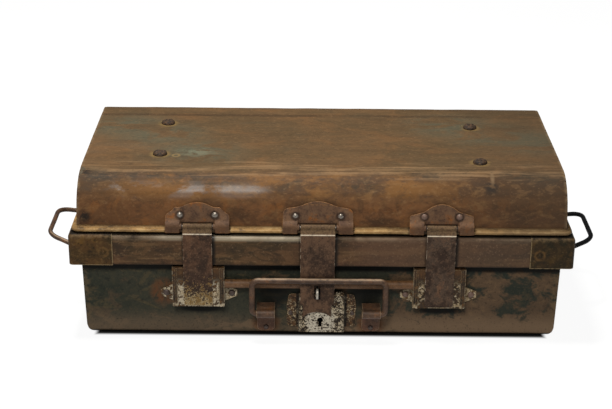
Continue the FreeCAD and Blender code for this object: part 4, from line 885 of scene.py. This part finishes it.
def solid_places(node):
    """The box of each solid in a CAD node, as (low, high)."""
    bm = bmesh.new()
    bm.from_mesh(frame["nodes"][node].data)
    merge(bm)
    places = []
    left = set(bm.verts)
    while left:
        heap = [left.pop()]
        low, high = heap[0].co.copy(), heap[0].co.copy()
        while heap:
            vert = heap.pop()
            low = Vector(map(min, low, vert.co))
            high = Vector(map(max, high, vert.co))
            for edge in vert.link_edges:
                other = edge.other_vert(vert)
                if other in left:
                    left.remove(other)
                    heap.append(other)
        places.append((low, high))
    bm.free()
    return sorted(places, key=lambda place: tuple(round(v, 4) for v in place[0]))


def dome(bm, around, rows):
    """The upper half of a ball of radius 1; gives its vertices."""
    made = bmesh.ops.create_uvsphere(bm, u_segments=around, v_segments=rows, radius=1)
    bmesh.ops.delete(bm, geom=[v for v in made["verts"] if v.co.z < -0.01], context="VERTS")
    return [v for v in made["verts"] if v.is_valid]


def add(name, data):
    """Puts an object into the scene."""
    made = bpy.data.objects.new(name, data)
    bpy.context.scene.collection.objects.link(made)
    return made


def show(name, bm, body, slot, nodes, sheet=0.0, finish=None):
    """Makes a shown piece of a bmesh: it rides on a body and stands for CAD nodes.

    A sheet thickness makes a plate of an open sheet; the finish is that of the slot if none is given.
    """
    if sheet:
        grown = bmesh.ops.solidify(bm, geom=bm.faces[:], thickness=sheet)
        mark(bm, "inside", [item for item in grown["geom"] if isinstance(item, bmesh.types.BMFace)])
    mesh = bpy.data.meshes.new(name)
    bm.to_mesh(mesh)
    bm.free()
    mesh.shade_smooth()
    mesh.set_sharp_from_angle(angle=math.radians(SMOOTH_ANGLE))
    mesh.materials.append((finish or FINISHES[slot]).material)
    piece = add(name, mesh)
    piece.modifiers.new("flat_faces", "WEIGHTED_NORMAL").keep_sharp = True
    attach(piece, body)
    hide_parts(*nodes)


STUD_SPOTS = [Vector(((low.x + high.x) / 2, (low.y + high.y) / 2, LID_TOP))
              for low, high in solid_places("lid_studs")]

FINISHES = {
    "lid_paint": lid_paint(),
    "tub_paint": tub_paint(),
    "band_paint": band_paint(),
    "bead_paint": bead_paint(),
    "hasp_steel": hasp_steel(),
    "catch_paint": speckled_enamel(),
    "rusty_wire": rusty_wire(),
    "black_wire": black_wire(),
    "rivet_steel": rivet_steel("rivet_dull_steel", 0.5),
    "stud_steel": stud_iron(),
    "bare_steel": bare_steel(),
    "staple_steel": staple_steel(),
}
CAP = cap_paint()
PLATE = plate_steel()
BRIGHT = rivet_steel("rivet_bright_steel", 0.84)

# CAD nodes that stay take the finish of their slot, or that of the piece they belong to
SLOTS = {part["node"]: part["material_slot"] for part in frame["record"]["subparts"]}
for name, node in frame["nodes"].items():
    finish = FINISHES[SLOTS[name]]
    if name.startswith("rim_cap_"):
        finish = CAP
    if name.startswith("hasp_plate_"):
        finish = BRIGHT if name.endswith("rivets") else PLATE
    node.data.materials.clear()
    node.data.materials.append(finish.material)


# Lid

def lid_sheet():
    """The lid's one sheet over front, top and back, dented and creased along the shoulders."""
    wall, low, top = LID_HIGH.y, LID_LOW.z, LID_HIGH.z
    shoulder, groove_depth = 0.045, 0.0005
    end_roll, roll_depth, worn_end = 0.009, 0.0011, 0.0048
    bm = folded_sheet([(-wall, low, 0), (-wall, top, shoulder), (wall, top, shoulder), (wall, low, 0)],
                      LID_HIGH.x, 0.005)
    for vert in bm.verts:
        rise = (vert.co.z - low) / (top - low)
        vert.co.x *= 1 - LID_LEAN / LID_HIGH.x * rise
    bm.normal_update()
    for vert in bm.verts:
        x, y, z = vert.co
        drift = 0.004 * noise.noise(Vector((x * 5, 3, 0)))
        groove = (bump_at(y, -0.121 + drift, 0.0035) + 0.7 * bump_at(y, -0.108 + drift, 0.003)
                  + bump_at(y, 0.118 - drift, 0.0035))
        if z > 0.235:
            vert.co -= vert.normal * groove_depth * groove
    batter(bm, 0.0007, 0.07, 3.1, [
        ((-0.349, -0.135, 0.246), 0.012, 0.0012),
        ((0.247, -0.137, 0.246), 0.010, 0.0010),
        ((-0.2, -0.15, 0.24), 0.045, 0.0012),
        ((-0.29, -0.165, 0.225), 0.05, 0.0010),
        ((0.02, -0.155, 0.236), 0.06, 0.0008),
    ])
    for vert in bm.verts:
        over = abs(vert.co.x) - (LID_HIGH.x - end_roll)
        if over > 0:
            vert.co -= vert.normal * roll_depth * (over / end_roll) ** 2
    mark(bm, "wear_and_highlight", bm.faces, lambda co: abs(co.x) > LID_HIGH.x - worn_end)
    show("lid_sheet", bm, "lid", "lid_paint", ["lid_wrapper"], SHEET)


def lid_bead():
    """The wired edge round the lid's foot: a flare that rolls over the wire."""
    low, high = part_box("lid_bead")
    bm = new_bmesh()
    out, wire, foot, wall = low.y, 0.0024, low.z + 0.0016, LID_LOW.y
    flare, lip = wall - 0.0004, wall - 0.0012
    edges = outline(bm, [((0, y, foot + up), radius) for y, up, radius in (
        (wall, 0.0085, 0), (flare, 0.0085, 0), (flare, 0.0052, 0.0025), (out, 0.005, wire), (out, 0, wire),
        (lip, 0, wire), (lip, 0.004, 0), (wall, 0.0046, 0),
    )])
    corner, inset = 0.009, 0.00325
    long_leg, short_leg = 2 * (high.x - inset - corner), 2 * (high.y - inset - corner)
    bend = (corner, 90)
    draw_along(bm, edges, (0, out + inset, 0), (1, 0, 0), (0, 0, 1),
               [long_leg / 2, bend, short_leg, bend, long_leg, bend, short_leg, bend, long_leg / 2])
    merge(bm, 1e-5)
    divide(bm, [e for e in bm.edges if e.calc_length() > 0.05], 0.008)
    face_out(bm)
    # The foot is uneven, and the inner edge is tucked into the lid so that no slit is left
    tuck_end, tuck_front = 0.0022, 0.0009
    for vert in bm.verts:
        x, y, z = vert.co
        if z < low.z + 0.008:
            vert.co.z += 0.0003 + 0.0003 * noise.noise(Vector((x * 18, y * 18, 1)))
        if abs(abs(x) - LID_HIGH.x) < 2e-4 and abs(y) < LID_HIGH.y - 0.004:
            vert.co.x -= math.copysign(tuck_end, x)
        if abs(abs(y) - LID_HIGH.y) < 2e-4 and abs(x) < LID_HIGH.x - 0.004:
            vert.co.y -= math.copysign(tuck_front, y)
    show("lid_wired_edge", bm, "lid", "bead_paint", ["lid_bead"])


def lid_studs():
    """Four dark squat lumps, flat on top and uneven with rust."""
    bm = new_bmesh()
    _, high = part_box("lid_studs")
    foot, radius = 0.2486, 0.0108
    for spot in STUD_SPOTS:
        for vert in dome(bm, 36, 24):
            flat, up = vert.co.to_2d(), max(vert.co.z, 0)
            lobe = 1 - 0.16 * abs(noise.noise(Vector((*(flat.normalized() * 1.1), spot.x * 9))))
            wide = flat.normalized() * flat.length ** 0.6 * lobe
            tall = up ** 0.7 * (0.98 - 0.4 * abs(noise.noise(Vector((*(wide * 1.9), spot.y * 31)))))
            vert.co = (spot.x + radius * wide.x, spot.y + radius * wide.y, foot + (high.z - foot) * tall)
    show("lid_dark_studs", bm, "lid", "stud_steel", ["lid_studs"])


def mark_inner_side(bm, side):
    """Marks what doesn't face outward on an end panel as inside."""
    mark(bm, "inside", [f for f in bm.faces if f.normal.x * SIDES[side] < 0.5])


def lid_end(side):
    """An end panel of the lid."""
    bm = worn_copy(f"lid_end_{side}", 0.0003)
    mark_inner_side(bm, side)
    show(f"lid_end_panel_{side}", bm, "lid", "lid_paint", [f"lid_end_{side}"])


# Tub and its rim band

def round_lower_ends(bm):
    """Draws in the tub's ends at the floor, so that its lower corners are round."""
    for vert in bm.verts:
        drop = CORNER - vert.co.z
        if drop > 0:
            end = TUB_HIGH.x - TUB_LEAN * (1 - vert.co.z / TUB_HIGH.z)
            inward = CORNER - math.sqrt(max(CORNER ** 2 - drop ** 2, 0))
            over = abs(vert.co.x) - (end - CORNER * 1.5)
            vert.co.x -= math.copysign(inward * share_of(over, CORNER), vert.co.x)


def tub_sheet():
    """The tub's one sheet over front, bottom and back, scuffed and dented."""
    wall, top = TUB_HIGH.y, TUB_HIGH.z
    fold, worn_end = 0.008, 0.0105
    bm = folded_sheet([(-wall, top, 0), (-wall, 0, fold), (wall, 0, fold), (wall, top, 0)], TUB_HIGH.x)
    for vert in bm.verts:
        vert.co.x *= 1 - TUB_LEAN / TUB_HIGH.x * (1 - vert.co.z / top)
    batter(bm, 0.0008, 0.08, 8.3, [
        ((-0.29, TUB_FRONT, 0.06), 0.04, 0.001),
        ((0.27, TUB_FRONT, 0.05), 0.05, 0.001),
    ])
    mark(bm, "wear_and_highlight", bm.faces, lambda co: abs(co.x) > TUB_HIGH.x - worn_end and co.z < 0.17)
    round_lower_ends(bm)
    show("tub_sheet", bm, "tub", "tub_paint", ["body_wrapper"], SHEET)


def tub_end(side):
    """An end panel of the tub, cut round at its lower corners."""
    bm = worn_copy(f"body_end_{side}", 0.0003)
    for step in range(1, 11):
        cut(bm, (0, 0, CORNER * step / 8), (0, 0, 1))
    round_lower_ends(bm)
    mark_inner_side(bm, side)
    show(f"tub_end_{side}", bm, "tub", "tub_paint", [f"body_end_{side}"])


def band_strip(name, node, face, inner, half, turn):
    """A strip of the rim band: narrow ledge, round upper edge, face and hem."""
    top, low = BAND_HIGH.z, BAND_LOW.z
    bm = folded_sheet([
        (-inner, top, 0), (-face, top, BAND_FOLD), (-face, low, BAND_SHEET), (-face + 0.004, low, 0),
    ], half)
    batter(bm, 0.0007, 0.06, 12 + turn * 0.01)
    rotate(bm, bm.verts[:], turn, "Z")
    show(name, bm, "tub", "band_paint", [node], BAND_SHEET)


def corner_cap(kx, ky, node):
    """A folded cap over one corner of the rim band."""
    low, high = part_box(node)
    ledge, rub, hem, touch = 0.0102, 0.0014, 0.0012, 1e-5
    bm = new_bmesh()
    made = bmesh.ops.create_cube(bm, size=1)
    bmesh.ops.scale(bm, verts=made["verts"], vec=high - low)
    move(bm, made["verts"], (low + high) / 2)
    inside = [f for f in bm.faces if f.normal.z < -0.5 or f.normal.x * kx < -0.5 or f.normal.y * ky < -0.5]
    bmesh.ops.delete(bm, geom=inside, context="FACES")
    folds = [e for e in bm.edges if len(e.link_faces) == 2]
    bmesh.ops.bevel(bm, geom=folds, offset=BAND_FOLD, offset_type="OFFSET", segments=5, profile=0.5,
                    affect="EDGES", clamp_overlap=True, material=-1)
    end_x, out_x = (low.x, high.x) if kx > 0 else (high.x, low.x)
    end_y, out_y = (low.y, high.y) if ky > 0 else (high.y, low.y)
    ledge_x, ledge_y = out_x - kx * ledge, out_y - ky * ledge
    for x, y in ((ledge_x, ledge_y), (end_x + kx * rub, end_y + ky * rub)):
        cut(bm, (x, 0, 0), (1, 0, 0))
        cut(bm, (0, y, 0), (0, 1, 0))
    cut(bm, (0, 0, low.z + hem), (0, 0, 1))
    behind_ledge = []
    for face in bm.faces:
        x, y, _ = face.calc_center_median()
        if face.normal.z > 0.9 and kx * x < kx * ledge_x and ky * y < ky * ledge_y:
            behind_ledge.append(face)
    bmesh.ops.delete(bm, geom=behind_ledge, context="FACES")
    mark(bm, "wear_and_highlight", bm.faces,
         lambda co: abs(co.x - end_x) < touch or abs(co.y - end_y) < touch or co.z < low.z + touch)
    show(f"band_corner_{node.removeprefix('rim_cap_')}", bm, "tub", "band_paint", [node], BAND_SHEET, CAP)


# Small fittings

def cut_plate(corners, front, thick, holes=(), edge=0.0004):
    """A plate that faces the front, from its outline and holes of (x, z, radius of the corner).

    Its rims are worn round by the width of an edge; 0 leaves them sharp.
    """
    bm = new_bmesh()
    for loop in (corners, *holes):
        edges = outline(bm, [((x, front + thick, z), radius) for x, z, radius in loop])
    bmesh.ops.triangle_fill(bm, use_beauty=True, use_dissolve=False, edges=edges, normal=(0, -1, 0))
    grown = bmesh.ops.extrude_face_region(bm, geom=bm.faces[:])
    move(bm, verts_of(grown), (0, -thick, 0))
    face_out(bm)
    join_flat(bm)
    if edge:
        soften(bm, edge, 40)
    return bm


def join(bm, other):
    """Adds another bmesh to a bmesh."""
    mesh = bpy.data.meshes.new("joined")
    other.to_mesh(mesh)
    other.free()
    bm.from_mesh(mesh)
    bpy.data.meshes.remove(mesh)


def box_corners(middle, half, low, high, radius):
    """The corners of an upright rectangle."""
    left, right = middle - half, middle + half
    return [(left, low, radius), (right, low, radius), (right, high, radius), (left, high, radius)]


def lock_face():
    """Lock case: eared back plate, box with rims, arched keyhole plate."""
    low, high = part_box("lock_case")
    mid, _ = span("lock_case")
    key_x, key_z = -0.0009, 0.032
    keyhole = [(key_x + x, key_z + z, radius) for x, z, radius in (
        (-0.0024, -0.0105, 0.0006), (0.0024, -0.0105, 0.0006), (0.002, -0.0034, 0), (0.0042, -0.0034, 0.003),
        (0.0042, 0.0042, 0.004), (-0.0042, 0.0042, 0.004), (-0.0042, -0.0034, 0.003), (-0.002, -0.0034, 0))]
    ear = [(high.x - 0.003, low.z + 0.003, 0.004), (high.x, 0.028, 0.006), (high.x - 0.0025, 0.037, 0.006),
           (high.x, 0.046, 0.006), (high.x - 0.004, 0.068, 0.005)]
    arch = [(-0.017, 0.015, 0.001), (0.017, 0.015, 0.001), (0.017, 0.036, 0.004), (0.007, 0.0446, 0.008),
            (-0.007, 0.0446, 0.008), (-0.017, 0.036, 0.004)]
    ear_front, case_front, rim_front = -0.1732, -0.186, -0.187
    case_half, rim_out, rim_half, rim_gap = 0.034, 0.0315, 0.0012, 0.001
    both_ears = ear + [(2 * mid - x, z, radius) for x, z, radius in reversed(ear)]
    bm = cut_plate(both_ears, ear_front, 0.0016, edge=0.0005)
    case = box_corners(mid, case_half, low.z, high.z, 0.002)
    join(bm, cut_plate(case, case_front, 0.0125, [keyhole], 0.0009))
    for k in SIDES.values():
        rim = box_corners(mid + k * rim_out, rim_half, low.z + rim_gap, high.z - rim_gap, 0.001)
        join(bm, cut_plate(rim, rim_front, 0.0012))
    join(bm, cut_plate([(key_x + x, z, radius) for x, z, radius in arch], low.y, 0.0011, [keyhole]))
    show("lock_face", bm, "tub", "catch_paint", ["lock_case"])


def rivet_heads(name, node, body, radius, rise, finish=None):
    """Domed heads on the front, one for each rivet of the group."""
    bm = new_bmesh()
    sunk, lumps = 0.0022, 0.0003
    for low, high in solid_places(node):
        middle = (low + high) / 2
        verts = dome(bm, 20, 12)
        bmesh.ops.scale(bm, verts=verts, vec=(radius, radius, rise))
        rotate(bm, verts, 90, "X")
        move(bm, verts, (middle.x, low.y + sunk, middle.z))
        for vert in verts:
            vert.co.y += lumps * noise.noise(vert.co * 500)
    show(name, bm, body, "rivet_steel", [node], finish=finish)


def bent_wire(name, node, body, radius, start, heading, up, legs):
    """Round wire drawn along a path, pale where it faces up and to the front: rubbed wear and a painted
    highlight.
    """
    bm = new_bmesh()
    bmesh.ops.create_circle(bm, cap_ends=False, segments=20, radius=radius)
    turn = Vector((0, 0, 1)).rotation_difference(Vector(heading)).to_matrix()
    bmesh.ops.rotate(bm, verts=bm.verts[:], cent=(0, 0, 0), matrix=turn)
    move(bm, bm.verts[:], start)
    draw_along(bm, bm.edges[:], start, heading, up, legs)
    merge(bm)
    divide(bm, [e for e in bm.edges if e.calc_length() > 0.012], 0.006)
    bmesh.ops.holes_fill(bm, edges=[e for e in bm.edges if e.is_boundary], sides=0)
    face_out(bm)
    bm.normal_update()
    wear_and_highlight = bm.loops.layers.float["wear_and_highlight"]
    # The side that faces up and to the front is marked pale, for rubbed wear and a painted highlight
    crest = Vector((0, -0.45, 0.89))
    for vert in bm.verts:
        rub = share_of(vert.normal.dot(crest) * 9 - 8, 1)
        for loop in vert.link_loops:
            loop[wear_and_highlight] = rub
        vert.co -= vert.normal * 0.0002 * (1 + noise.noise(vert.co * 90))
    show(name, bm, body, SLOTS[node], [node])


def end_handle(side):
    """An end handle: pins in the saddles, splayed legs, round shoulders and a bar."""
    k = SIDES[side]
    low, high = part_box(f"end_handle_{side}")
    wire, thicker, tilt = 0.0035, 0.0003, math.radians(15)
    reach, half, bar, pin, turn, shoulder = 0.0697, high.y, 0.050, 0.028, 0.008, 0.024
    out = Vector((k * math.cos(tilt), 0, math.sin(tilt)))
    pin_x = (low.x if k > 0 else high.x) + k * wire
    leg = Vector((reach, half - bar)).length
    splay = math.degrees(math.atan2(half - bar, reach))
    foot_bend, shoulder_bend = 90 + splay, 90 - splay
    foot_run = turn * math.tan(math.radians(foot_bend / 2))
    shoulder_run = shoulder * math.tan(math.radians(shoulder_bend / 2))
    first, sides = pin - foot_run, leg - foot_run - shoulder_run
    half_way = [first, (turn, foot_bend), sides, (shoulder, shoulder_bend)]
    start = Vector((pin_x, -(half - pin), low.z + wire))
    bent_wire(f"end_loop_{side}", f"end_handle_{side}", f"handle_{side}", wire + thicker, start, (0, -1, 0),
              out.cross(Vector((0, 1, 0))), half_way + [2 * (bar - shoulder_run)] + half_way[::-1])


def bail_wire():
    """The front bail: two turned-in pins, legs and a bar."""
    low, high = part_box("front_bail")
    radius, lean, turn, shoulder, pin, rise = 0.0045, math.radians(1.2), 0.007, 0.009, 0.031, 0.0526
    half = (high.x - low.x) / 2 - radius
    up = Vector((0, math.sin(lean), math.cos(lean)))
    start = Vector((low.x + radius + pin, low.y + radius, low.z + radius))
    half_way = [pin - turn, (turn, 90), rise - turn - shoulder, (shoulder, 90)]
    bent_wire("bail_wire", "front_bail", "bail", radius, start, (-1, 0, 0), Vector((-1, 0, 0)).cross(up),
              half_way + [2 * (half - shoulder)] + half_way[::-1])


def hasp_plate(side):
    """The plate that carries a hasp: bell-shaped crown, knuckles, flanges that hang over the wired edge."""
    _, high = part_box(f"hasp_plate_{side}")
    pin_low, pin_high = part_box("hasp_pins")
    axis_y, axis_z = (pin_low.y + pin_high.y) / 2, (pin_low.z + pin_high.z) / 2
    mid, half = span(f"hasp_plate_{side}")
    _, inner = span(f"hasp_{side}")
    front, thick, foot, row = -0.1755, 0.0015, -0.0085, 0.0023
    bend_height, bend_width, push = 0.0125, 0.004, 0.0094
    knuckle_out, radius, length = 0.0052, 0.0045, 0.0088
    right = [(half, foot, 0.0012)]
    if side == "middle":
        right += [(half - 0.0005, 0.022, 0.003), (half - 0.005, 0.0275, 0.003), (0.026, 0.0305, 0.006)]
    elif side == "right":
        right += [(half - 0.0005, 0.0172, 0.0025), (half - 0.011, 0.0205, 0.002), (0.0245, 0.0238, 0.003)]
    else:
        right += [(half - 0.0005, 0.016, 0.003), (half - 0.011, 0.0235, 0.002), (half - 0.014, 0.0282, 0.002),
                  (0.023, 0.0275, 0.005)]
    right.append((0.011, high.z - axis_z, 0.011))
    left = [(-x, z, bend) for x, z, bend in reversed(right)]
    bm = cut_plate([(mid + x, axis_z + z, bend) for x, z, bend in right + left], front, thick, edge=0)
    for step in range(1, 9):
        cut(bm, (0, 0, axis_z + foot + row * step), (0, 0, 1))
    for k in SIDES.values():
        for out in (0.002, 0.0035, 0.005):
            cut(bm, (mid + k * (inner + out), 0, 0), (1, 0, 0))
    soften(bm, 0.0004, 40)
    for vert in bm.verts:
        share = share_of(axis_z + bend_height - vert.co.z, bend_height)
        flange = share_of(abs(vert.co.x - mid) - inner - 0.001, bend_width)
        vert.co.y -= push * share * (2 - share) * flange * flange * (3 - 2 * flange)
    for k in SIDES.values():
        made = bmesh.ops.create_cone(bm, cap_ends=True, segments=28, radius1=radius, radius2=radius,
                                     depth=length)
        rotate(bm, made["verts"], 90, "Y")
        move(bm, made["verts"], (mid + k * (inner + knuckle_out), axis_y, axis_z))
    show(f"hasp_head_plate_{side}", bm, "lid", "hasp_steel", [f"hasp_plate_{side}"], finish=PLATE)


def hasp_strap(side):
    """A hanging strap with a roll at its head, its edges rubbed bright."""
    show(f"hasp_strap_{side}", worn_copy(f"hasp_{side}", 0.0005, 50), f"hasp_{side}", "hasp_steel",
         [f"hasp_{side}"])


def closing_pieces():
    """Catches, bail loops, lock case and rivet heads on the front."""
    for side in SIDES:
        for name, node in (("side_catch", "catch"), ("bail_loop", "bail_bracket")):
            node = f"{node}_{side}"
            show(f"{name}_{side}", worn_copy(node, 0.0004), "tub", SLOTS[node], [node])
    lock_face()
    rivet_heads("plate_rivet_heads", "hasp_plate_rivets", "lid", 0.0049, 0.0034, BRIGHT)
    rivet_heads("catch_rivet_heads", "catch_rivets", "tub", 0.0049, 0.0026)
    rivet_heads("lock_rivet_heads", "lock_rivets", "tub", 0.0036, 0.0024)
    rivet_heads("loop_rivet_heads", "bail_bracket_rivets", "tub", 0.0038, 0.0026)


lid_sheet()
lid_bead()
lid_studs()
tub_sheet()
band_strip("band_front", "rim_front", -BAND_LOW.y, -BAND_HIGH.y, BAND_HIGH.x, 0)
band_strip("band_back", "rim_back", -BAND_LOW.y, -BAND_HIGH.y, BAND_HIGH.x, 180)
for side, k in SIDES.items():
    low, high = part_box("rim_right")
    lid_end(side)
    tub_end(side)
    band_strip(f"band_{side}", f"rim_{side}", high.x, low.x, high.y, k * 90)
    for row, ky in (("front", -1), ("back", 1)):
        corner_cap(k, ky, f"rim_cap_{row}_{side}")
for side in HASPS:
    hasp_plate(side)
    hasp_strap(side)
closing_pieces()
bail_wire()
for side in SIDES:
    end_handle(side)


# Stage, light and camera

def light(name, spot, aim, width, height, power, colour):
    """A soft box that shines from a spot to an aim."""
    data = bpy.data.lights.new(name, "AREA")
    data.shape = "RECTANGLE"
    data.size = width
    data.size_y = height
    data.energy = power
    data.color = colour
    lamp = add(name, data)
    lamp.location = spot
    lamp.rotation_euler = (Vector(aim) - Vector(spot)).to_track_quat("-Z", "Y").to_euler()
    return lamp


def studio():
    """Floor that glows white away from the trunk and is dark under it and just round its foot as a painted
    contact shadow, two soft boxes and a dim surround.
    """
    bm = bmesh.new()
    bmesh.ops.create_grid(bm, x_segments=1, y_segments=1, size=60)
    mesh = bpy.data.meshes.new("floor")
    bm.to_mesh(mesh)
    bm.free()
    floor = add("floor", mesh)
    paper = Finish("floor_paper", gloss=0.0)
    x, y, _ = paper.axes()
    # Painted contact shadow: no glow under the tub, fading in over about 9 mm beyond its front and back
    dark_x, dark_y = TUB_HIGH.x - 0.03, TUB_HIGH.y - 0.008
    away = abs(x) - dark_x | abs(y) - dark_y
    glow = paper.layers((0, 0, 0, 1), (away, 0.008, 0.017, (0.94, 0.94, 0.94, 1)))
    paper.set((0.1, 0.1, 0.1, 1), 0.9)
    paper.plug(paper.shader.inputs["Emission Color"], glow)
    paper.shader.inputs["Emission Strength"].default_value = 1.0
    mesh.materials.append(paper.material)
    floor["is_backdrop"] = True
    world = bpy.data.worlds.new("surround")
    world.use_nodes = True
    sky = world.node_tree.nodes["Background"]
    sky.inputs["Color"].default_value = (1, 1, 1, 1)
    sky.inputs["Strength"].default_value = 0.14
    bpy.context.scene.world = world
    light("overhead", (-0.3, 0.0, 2.2), (0, 0, 0), 0.4, 0.4, 62, (1, 0.98, 0.94))
    front = light("front", (-0.4, -2.0, 2.1), (0, -0.1, 0.15), 0.7, 0.45, 64, (1, 0.965, 0.9))
    unlit = bpy.data.collections.new("not_lit_from_the_front")
    unlit.objects.link(floor)
    unlit.collection_objects[0].light_linking.link_state = "EXCLUDE"
    front.light_linking.receiver_collection = unlit


def camera():
    """The photograph's point of view."""
    place, pitch, roll = (-0.023, -2.089, 1.016), math.radians(90 - 22.8), math.radians(0.5)
    data = bpy.data.cameras.new("camera")
    data.sensor_width = 36
    data.lens = 85.3
    data.clip_end = 150
    view = add("camera", data)
    turn = Matrix.Rotation(pitch, 4, "X") @ Matrix.Rotation(roll, 4, "Z")
    view.matrix_world = Matrix.Translation(place) @ turn
    bpy.context.scene.camera = view


studio()
camera()
bpy.context.scene.view_settings.view_transform = "Standard"

low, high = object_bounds()
